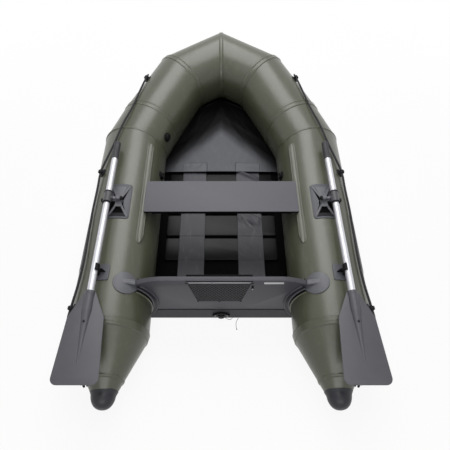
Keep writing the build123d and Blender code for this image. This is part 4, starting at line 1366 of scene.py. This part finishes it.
for name, side in sides.items():
    middleY = oarlock["y"] + oarlock["padAhead"]
    size = (oarlock["padLength"], oarlock["padWidth"], oarlock["padCorner"], oarlock["padRise"])
    pad = gluedPad(side, onTube(middleY), 90, *size)
    piece(f"{name}OarlockPad", pad, "pad", sharp=50)

    seatZ = 2 * tubeRadius + oarlock["seat"]
    boss = oarlock["boss"]
    local = Matrix.Translation((side * tubeX, oarlock["y"], 0)) @ Matrix.Diagonal((side, 1, 1, 1))
    shapes = [moved(turned([(0, seatZ), (boss - 0.0025, seatZ), (boss, seatZ - 0.0025),
                            (boss + 0.0015, seatZ - 0.016), (boss + 0.003, seatZ - 0.024),
                            (0, seatZ - 0.024)], 40), local)]
    for across in (-1, 1):
        for ahead in (-1, 1):
            x = across * (oarlock["padWidth"] / 2 - oarlock["armInset"])
            y = oarlock["padAhead"] + ahead * (oarlock["padLength"] / 2 - oarlock["armInset"])
            reach = hypot(x, y)
            low = padTop(x)
            arm = plate([(0, seatZ - 0.026), (reach, low - 0.006), (reach, low + 0.002),
                         (reach * 0.72, low + 0.0062), (0.036, seatZ - 0.0090), (0.017, seatZ - 0.0035),
                         (0, seatZ - 0.001)], oarlock["arm"])
            soften(arm, 0.0018, 2, corner=30)
            shifted(arm, 0, 0, -oarlock["arm"] / 2)
            run = Vector((x, y, 0)).normalized()
            turn = Matrix((run, (0, 0, 1), run.cross(Vector((0, 0, 1))))).transposed().to_4x4()
            shapes.append(moved(moved(arm, turn), local))

    def webPlace(u, v):
        # the sloping web between the two forward arms
        y = 0.010 + 0.088 * v
        x = (2 * u - 1) * (0.010 + 0.016 * v)
        ground = padTop(x)
        rise = (seatZ - 0.004 - ground) * (1 - v) ** 1.3 * (1 - 0.15 * (2 * u - 1) ** 2)
        return Vector((x, y, ground + max(rise, 0.0003)))

    def aftWebPlace(u, v):
        # the short web between the roots of the two aft arms
        y = -0.010 - 0.026 * v
        x = (2 * u - 1) * (0.013 + 0.004 * v)
        ground = padTop(x)
        return Vector((x, y, ground + (seatZ - 0.004 - ground) * (1 - 0.45 * v)))

    for place, rows in ((webPlace, 24), (aftWebPlace, 10)):
        web = shapedGrid(16, rows, place)
        bmesh.ops.solidify(web, geom=web.faces[:], thickness=0.004)
        shapes.append(moved(web, local))
    # the black and dark patches on the pad between the arms are painted shade in the foot's hollows
    for finishNumber, outline in oarlock["shadePatches"]:
        shadePatch = plate(outline, oarlock["shadePatchRise"])
        sliced(shadePatch, 0.008, 1)
        bmesh.ops.recalc_face_normals(shadePatch, faces=shadePatch.faces)
        shapes.append(painted(bent(shadePatch, side, 0, onTube(oarlock["y"]), 90), finishNumber))
    piece(
        f"{name}OarlockBase", gathered(*shapes), ("ear", "void", "dark"), sharp=40,
    )

    top, pinZ, head = oarlock["headTop"], oar["z"], oarlock["head"]
    post = peg(head, top, seatZ + 0.0004, 0.003, 36)
    shifted(post, side * tubeX, oarlock["y"], 0)
    reach = oar["x"] - tubeX - oar["collar"] - 0.0045
    centre = Vector((side * tubeX, oarlock["y"], pinZ))
    pin = peg(oarlock["pin"], reach, 0, 0.001, 28)
    moved(pin, pointing(centre, (side, 0, 0), (0, 1, 0)))
    far, knobRadius = head + oarlock["knobReach"], oarlock["knob"]
    knob = turned([(0, far), (knobRadius * 0.6, far), (knobRadius - 0.0015, far - 0.0008),
                   (knobRadius, far - 0.0025), (knobRadius, head * 0.8), (0, head * 0.8)], 28)
    moved(painted(knob, 1), pointing(centre, (-side, 0, 0), (0, 1, 0)))
    piece(
        f"{name}OarlockHead", gathered(post, painted(pin, 2), knob), ("ear", "black", "pin"), f"{name}_oar",
        sharp=40,
    )

    length = oar["collarLength"]
    radius, bore = oar["collar"], oar["shaft"]
    profile = [(bore, 0), (radius + 0.0005, 0), (radius + 0.0015, 0.0015), (radius + 0.0015, 0.006),
               (radius, 0.0075), (radius, length - 0.0075), (radius + 0.0015, length - 0.006),
               (radius + 0.0015, length - 0.0015), (radius + 0.0005, length), (bore, length)]
    sleeve = moved(turned(profile, 48), alongOar(side, oar["oarlock"] + length / 2))
    centre = Vector((side * oar["x"], oarlock["y"], oar["z"]))
    lug = turned([(0, radius + 0.004), (0.008, radius + 0.004), (0.009, radius + 0.003),
                  (0.0095, radius * 0.7), (0, radius * 0.7)], 32)
    moved(lug, pointing(centre, (-side, 0, 0), (0, 1, 0)))
    knob = turned([(0, radius + 0.011), (0.007, radius + 0.011), (0.0092, radius + 0.010),
                   (0.010, radius + 0.008), (0.010, radius + 0.001), (0.007, radius * 0.6),
                   (0, radius * 0.6)], 32)
    moved(knob, pointing(centre + Vector((0, -0.012, -0.004)), (side, 0, 0), (0, 1, 0)))
    ends = (0.0085, length - 0.0085)
    sleeveY = oarlock["y"] + length / 2
    painted(sleeve, 1, lambda face: not ends[0] < sleeveY - face.calc_center_median().y < ends[1])
    piece(
        f"{name}OarCollar", gathered(sleeve, lug), ("grey", "dark"), f"{name}_oar",
        sharp=40,
    )
    piece(f"{name}CollarKnob", knob, "black", f"{name}_oar", sharp=40)
print("oarlocks done")

# Oar clips: a pad on the tube, and a hook open outboard that the shaft lies in
clip = {
    "y": transomY + 0.050, "angle": 79.5, "width": 0.080, "length": 0.081, "corner": 0.010, "bore": 0.0165,
    "rise": 0.004, "wall": 0.0045, "hookLength": 0.034, "arc": (106, 284), "footWidth": 0.024,
    "footIn": 0.0045, "ribIn": 0.028, "ribThickness": 0.004,
}
for name, side in sides.items():
    size = (clip["length"], clip["width"], clip["corner"], clip["rise"])
    pad = gluedPad(side, onTube(clip["y"]), clip["angle"], *size)
    half = clip["hookLength"] / 2
    inner, outer = clip["bore"], clip["bore"] + clip["wall"]
    profile = [(inner, -half + 0.001), (inner + 0.001, -half), (outer - 0.001, -half), (outer, -half + 0.001),
               (outer, half - 0.001), (outer - 0.001, half), (inner + 0.001, half), (inner, half - 0.001)]
    hooked = turnedArc(profile, *clip["arc"], 32)
    moved(hooked, Matrix.Translation((side * oar["x"], clip["y"], oar["z"])) @ upright(side))
    skinZ = tubeRadius + (tubeRadius ** 2 - (oar["x"] - tubeX) ** 2) ** 0.5
    rise = oar["z"] - inner - clip["wall"] * 0.5 - skinZ + 0.004
    foot = soften(plate(roundedOutline(clip["footWidth"], clip["hookLength"], 0.003), rise), 0.0012, 2)
    shifted(foot, side * (oar["x"] - clip["footIn"]), clip["y"], skinZ - clip["rise"])
    rib = soften(plate([(-0.013, 0), (0.013, 0), (0.004, 0.026), (-0.001, 0.026)], clip["ribThickness"]),
                 0.0008, 2)
    place = (side * (oar["x"] - clip["ribIn"]), clip["y"] - clip["ribThickness"] / 2, skinZ + 0.010)
    moved(rib, Matrix.Translation(place) @ upright(side))
    piece(f"{name}ClipPad", pad, "pad", sharp=50)
    piece(f"{name}OarClip", gathered(hooked, foot, rib), "black", sharp=40)
print("oar clips done")

# Grab lines: eyes glued along the outboard side, with a rope through them
eye = {
    "lift": 0.014, "bore": 0.007, "wall": 0.005, "length": 0.016, "width": 0.026, "round": 0.0022,
    "pad": 0.023,
    "padRise": 0.004,
}


def goreSpot(side, gore, share, angle, lift=0.0):
    # the same point that a share of the gore's own centre line gives
    start, end, run, outboard, upward, first, second = gores[side][gore]
    flat = Vector((run.y, -run.x, 0)).normalized() * side
    rise = flat.cross(run) * side
    turn = radians(angle)
    return start.lerp(end, share) + (flat * cos(turn) + rise * sin(turn)) * (tubeRadius + lift)


def onGore(side, gore, share, angle, ahead):
    # a matrix that stands square on a gore
    low = goreSpot(side, gore, share, angle)
    return pointing(low, goreSpot(side, gore, share, angle, 1) - low, ahead)


def sideShare(distance):
    seams = hull["seams"]
    return (transomY + distance - seams[0][1]) / (seams[1][1] - seams[0][1])


def coneSpot(side, share, angle, lift=0.0):
    return skinPoint(side, -1, 1 - share, angle, lift)


def ropeRoute(side):
    lift = 0.0095

    def at(gore, share, angle, rise=lift):
        return goreSpot(side, gore, share, angle, rise)

    def beside(distance, angle, rise=lift):
        return at(0, sideShare(distance), angle, rise)

    return [
        at(2, 0.66, 40, eye["lift"]), at(2, 0.50, 48, eye["lift"]), at(2, 0.22, 59), at(1, 0.70, 71),
        at(1, 0.10, 74, lift + 0.004), beside(0.890, 66), beside(0.785, 55),
        beside(0.690, 43.9, eye["lift"] + 0.0008),
        beside(0.585, 43), beside(0.440, 41), beside(0.290, 44), beside(0.140, 47), beside(0.015, 44),
        beside(-0.095, 38, eye["lift"]), beside(-0.160, 35, lift + 0.006),
        coneSpot(side, 0.25, 30, lift + 0.002), coneSpot(side, 0.52, 21, lift + 0.002),
        coneSpot(side, 0.76, 13, eye["lift"] + 0.0015), coneSpot(side, 0.90, 9, eye["lift"] + 0.0015),
    ]


def eyePlaces(side):
    # each eye stands square to the hull and is turned along the rope that runs through it
    route = ropeRoute(side)
    spots = []
    for gore, share, angle, before, after in (
        (2, 0.56, 45, 0, 1), (0, sideShare(0.690), 45, 6, 8), (0, sideShare(-0.095), 38, 12, 14),
    ):
        spots.append(onGore(side, gore, share, angle, route[before] - route[after]))
    low, ahead = coneSpot(side, 0.80, 11), coneSpot(side, 0.75, 11)
    across = coneSpot(side, 0.80, 12) - low
    spots.append(pointing(low, (ahead - low).cross(across) * side, route[16] - route[18]))
    return spots


def archPlace(u, v):
    # round the hole by u; v goes round the section, from the bore over the outside and back
    turn = 2 * pi * u
    lift, half, length, soft = eye["lift"], eye["width"] / 2, eye["length"] / 2, eye["round"]
    reach = half if sin(turn) >= 0 else min(half / max(abs(cos(turn)), 0.001), lift / abs(sin(turn)))
    bore = eye["bore"]
    if sin(turn) > 0:
        reach = min(reach, (bore + eye["wall"]) / max(sin(turn), 0.001))
    section = [(bore, -length + soft), (bore + soft, -length), ((bore + reach) / 2, -length),
               (reach - soft, -length), (reach, -length + soft), (reach, length - soft),
               (reach - soft, length), ((bore + reach) / 2, length), (bore + soft, length),
               (bore, length - soft), (bore, -length + soft)]
    radius, along = section[round(v * 10)]
    return Vector((along, radius * cos(turn), lift + radius * sin(turn)))


for name, side in sides.items():
    shapes = []
    for number, spot in enumerate(eyePlaces(side)):
        arch = shapedGrid(40, 10, archPlace)
        hole = eye["bore"] + eye["round"] * 1.2
        for face in arch.faces:
            middle = face.calc_center_median()
            face.material_index = int(hypot(middle.y, middle.z - eye["lift"]) < hole)
        disc = soften(plate(circleOutline(eye["pad"], 40), eye["padRise"] + 0.004), 0.0016, 2)
        sliced(disc, 0.006, 1)
        radius = tubeRadius if number < 3 else 0.080
        for vert in disc.verts:
            vert.co.z += radius * (cos(vert.co.y / radius) - 1) - 0.004
        shapes += [moved(part, spot) for part in (arch, disc)]
    piece(
        f"{name}LineGuides", gathered(*shapes), ("dark", "black"), sharp=40,
    )


def routeCurve(name, points, radius):
    # one smooth open spline whose control points are the route's own
    data = bpy.data.curves.new(name, "CURVE")
    data.dimensions = "3D"
    spline = data.splines.new("NURBS")
    spline.points.add(len(points) - 1)
    for knot, point in zip(spline.points, points):
        knot.co = (*point, 1)
    spline.order_u = 3
    spline.use_endpoint_u = True
    spline.resolution_u = 24
    data.bevel_depth = radius
    data.bevel_resolution = 5
    data.use_fill_caps = True
    return linked(name, data)


def routeLine(points):
    # points read along the route's spline
    bare = routeCurve("bareRoute", points, 0.0)
    mesh = bpy.data.meshes.new_from_object(bare)
    line = [vert.co.copy() for vert in mesh.vertices]
    data = bare.data
    bpy.data.objects.remove(bare)
    bpy.data.curves.remove(data)
    bpy.data.meshes.remove(mesh)
    return line


def evenly(line, spacing):
    # the line again with points an even spacing apart
    lengths = [0.0]
    for before, after in zip(line, line[1:]):
        lengths.append(lengths[-1] + (after - before).length)
    count = max(2, int(lengths[-1] / spacing))
    places, at = [], 0
    for step in range(count + 1):
        want = lengths[-1] * step / count
        while at < len(line) - 2 and lengths[at + 1] < want:
            at += 1
        span = max(1e-9, lengths[at + 1] - lengths[at])
        places.append(line[at].lerp(line[at + 1], min(1.0, (want - lengths[at]) / span)))
    return places, lengths[-1]


grabLine = {"radius": 0.0055, "step": 0.0026, "braids": 60}


def braidedTube(line, radius, spacing, around=16, strands=8, pitch=0.030, depth=0.10):
    # a round braid: plaits stand out where a strand passes over another
    places, length = evenly(line, spacing)
    frames, across = [], Vector((0, 0, 1))
    for number, place in enumerate(places):
        ahead = (places[min(number + 1, len(places) - 1)] - places[max(number - 1, 0)]).normalized()
        across = (across - ahead * across.dot(ahead)).normalized()
        frames.append((place, across.copy(), ahead.cross(across)))

    def at(u, v):
        number = round(v * (len(frames) - 1))
        place, first, second = frames[number]
        turn = 2 * pi * u
        run = 2 * pi * length * v / pitch
        plait = sin(turn * strands / 2 + run) * sin(turn * strands / 2 - run)
        ends = min(1.0, min(v, 1 - v) * len(frames) / 3 + 0.25)
        reach = radius * (1 - depth / 2 + depth * 0.5 * plait) * ends ** 0.4
        return place + (first * cos(turn) + second * sin(turn)) * reach

    work = shapedGrid(around, len(frames) - 1, at)
    capped(work)
    return work


for name, side in sides.items():
    work = braidedTube(routeLine(ropeRoute(side)), grabLine["radius"], grabLine["step"])
    for face in work.faces:
        for loop in face.loops:
            loop[work.loops.layers.uv.active].uv.y *= grabLine["braids"]
    piece(f"{name}GrabLine", work, "rope", sharp=80)
print("grab lines done")

# Inflation valves
valve = {"flange": 0.027, "rise": 0.004, "cap": 0.017, "capHeight": 0.011, "ribs": 12}


def valveShapes(spot):
    flange, cap, height = valve["flange"], valve["cap"], valve["capHeight"]
    base = turned([(0, valve["rise"]), (flange - 0.006, valve["rise"]),
                   (flange - 0.001, valve["rise"] - 0.0015), (flange, 0.0), (flange, -0.005), (0, -0.005)],
                   48)
    for vert in base.verts:
        vert.co.z += tubeRadius * (cos(vert.co.y / tubeRadius) - 1)
    low = valve["rise"] - 0.001
    top = turned([(0, low + height - 0.003), (cap * 0.55, low + height - 0.003), (cap * 0.62, low + height),
                  (cap - 0.002, low + height), (cap - 0.0005, low + height - 0.0015), (cap - 0.0005, low),
                  (0, low)], 48)
    ribs = capRibs(valve["ribs"], cap - 0.0012, low + height / 2, height - 0.004, 0.004)
    tab = soften(plate(roundedOutline(0.012, 0.006, 0.0025), 0.0035), 0.001, 2)
    shifted(tab, 0, 0, low + height - 0.0035)
    return [moved(shape, spot) for shape in (base, top, *ribs, tab)]


valveSpots = {name: (side, 0, sideShare(0.738), 163) for name, side in sides.items()}
valveSpots["bow"] = (-1, 1, 0.48, 158)
for name, (side, gore, share, angle) in valveSpots.items():
    shapes = valveShapes(onGore(side, gore, share, angle, gores[side][gore][2]))
    piece(f"{name}Valve", gathered(*shapes), "black", sharp=40)
print("valves done")

# Tow patch over the bow seam, with a strap round its ring
tow = {"angle": -30, "radius": 0.042, "rise": 0.004, "strapWidth": 0.022, "strapRise": 0.0045, "loop": 0.0062}
patch = soften(plate(circleOutline(tow["radius"], 56), tow["rise"] + 0.001), 0.0016, 3)
sliced(patch, 0.006, 0)
sliced(patch, 0.007, 1)
for vert in patch.verts:
    side = 1 if vert.co.x >= 0 else -1
    run = gores[side][3][2]
    angle = tow["angle"] + degrees(vert.co.y / tubeRadius)
    vert.co = besideSeam(side, 4, -abs(vert.co.x), angle, vert.co.z - 0.001)
bmesh.ops.remove_doubles(patch, verts=patch.verts, dist=1e-5)
piece("towPatch", patch, "pad", stands=[], sharp=50)
strapCentre = bowSeamPlace(0, tow["angle"], 0.0)
out = (bowSeamPlace(0, tow["angle"], 0.01) - strapCentre).normalized()


def strapPlace(u, v):
    # a loop of webbing over the ring's bar
    turn = pi * v
    x = (u - 0.5) * tow["strapWidth"]
    up = Vector((1, 0, 0)).cross(out)
    reach = tow["loop"]
    loop = out * (tow["strapRise"] + reach * sin(turn)) + up * (reach * 1.6 * cos(turn))
    return strapCentre + Vector((x, 0, 0)) + loop


strap = piece("towStrap", shapedGrid(12, 20, strapPlace), "pad", stands=["tow_patch"])
thicken(strap, 0.0016, 0)
repaint("tow_ring", "steel")
print("tow ring done")

# Dark panels along the outer flanks
panel = {"start": 0.12, "end": 0.41, "low": -4, "high": 41, "lean": 0.02, "rise": 0.0002, "rimRise": 0.0009}
for name, side in sides.items():
    def panelPlace(u, v):
        y = transomY + panel["start"] + (panel["end"] - panel["start"]) * v
        lean = panel["lean"] * (u - 0.5)
        angle = panel["low"] + (panel["high"] - panel["low"]) * u
        rim = min(1.0, min(u, 1 - u) * 40, min(v, 1 - v) * 60)
        return skinAlong(side, 0, onTube(y + lean), angle, panel["rise"] + panel["rimRise"] * rim)

    piece(f"{name}SidePanel", shapedGrid(40, 80, panelPlace), "panel", outward=False)
print("side panels done")

# Drain plug's lanyard
lanyard = {
    "radius": 0.001,
    "points": (
        (0.0146, -0.693, 0.0376), (0.027, -0.693, 0.022), (0.039, -0.691, 0.0035), (0.052, -0.684, 0.0016),
        (0.058, -0.672, 0.0013), (0.074, -0.662, 0.0013), (0.090, -0.670, 0.0013), (0.077, -0.692, 0.0014),
        (0.070, -0.713, 0.0013), (0.075, -0.740, 0.0013),
    ),
}
line = routeCurve("drainLanyard", lanyard["points"], lanyard["radius"])
line.data.materials.append(finishes["cord"])
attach(line, "hull")
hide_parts("drain_lanyard")
tip = Vector(lanyard["points"][-1])
knot = turned([(0, 0.0028), (0.0012, 0.0026), (0.0022, 0.0018), (0.0026, 0.0006), (0.0026, -0.0006),
               (0.0022, -0.0018), (0.0012, -0.0026), (0, -0.0028)], 16)
moved(knot, facingAft(tip + Vector((0, 0, 0.0012))))
knot = piece("lanyardKnot", knot, "cord")
places, length = evenly(routeLine(lanyard["points"]), 0.002)
print("lanyard length", round(length, 4))
print("lanyard done")

# Floor, light and surroundings
studio = {
    "floorSize": 30, "floorTone": (255, 255, 255), "keep": 0.10, "near": 1.3, "far": 2.6, "fill": 0.16,
    "lamps": {  # where each stands, what it points at, its size and its power
        "overhead": ((0, 2.2, 3.0), (0, 1.9, 0), (2.0, 3.6), 90),
        "aft": ((0, -1.1, 3.0), (0, -1.0, 0), (1.6, 1.0), 18),
        "behind": ((0, -3.6, 2.3), (0, 0, 0.3), (3.0, 1.0), 30),
    },
}
ground = bmesh.new()
bmesh.ops.create_grid(ground, x_segments=1, y_segments=1, size=studio["floorSize"] / 2)
mesh = bpy.data.meshes.new("studioFloor")
ground.to_mesh(mesh)
ground.free()
linked("studioFloor", mesh)
paint = Finish("studioFloor", 0.9)
paint.set("Base Color", tone(*studio["floorTone"]))
away = paint.node("ShaderNodeVectorMath", {"operation": "LENGTH"}, {0: paint.coordinates()}, out="Value")
fade = paint.ramp((away - studio["near"]) / (studio["far"] - studio["near"]), (0.0, 1.0), (1.0, 0.0))
glow = paint.node("ShaderNodeEmission", None, {"Color": (1, 1, 1, 1), "Strength": 1.0})
mixed = paint.node("ShaderNodeMixShader", None, {0: paint.seenRay() * (1 - studio["keep"] * fade)})
paint.tree.links.new(paint.surface.outputs[0], mixed.socket.node.inputs[1])
paint.tree.links.new(glow.socket, mixed.socket.node.inputs[2])
paint.tree.links.new(mixed.socket, paint.tree.nodes["Material Output"].inputs["Surface"])
mesh.materials.append(paint.material)

world = bpy.data.worlds.new("studio")
bpy.context.scene.world = world
world.use_nodes = True
sky = Nodes(world.node_tree)
back = sky.tree.nodes["Background"]
sky.feed(back.inputs["Strength"], studio["fill"] + (1 - studio["fill"]) * sky.seenRay())
back.inputs["Color"].default_value = (1, 1, 1, 1)


def softbox(name, place, target, size, power):
    light = bpy.data.lights.new(name, "AREA")
    light.shape = "RECTANGLE"
    light.size, light.size_y = size
    light.energy = power
    made = linked(name, light)
    made.location = place
    made.rotation_euler = (Vector(target) - Vector(place)).to_track_quat("-Z", "Y").to_euler()


for name, lamp in studio["lamps"].items():
    softbox(name, *lamp)
bpy.context.scene.view_settings.view_transform = "Standard"
print("studio ready")
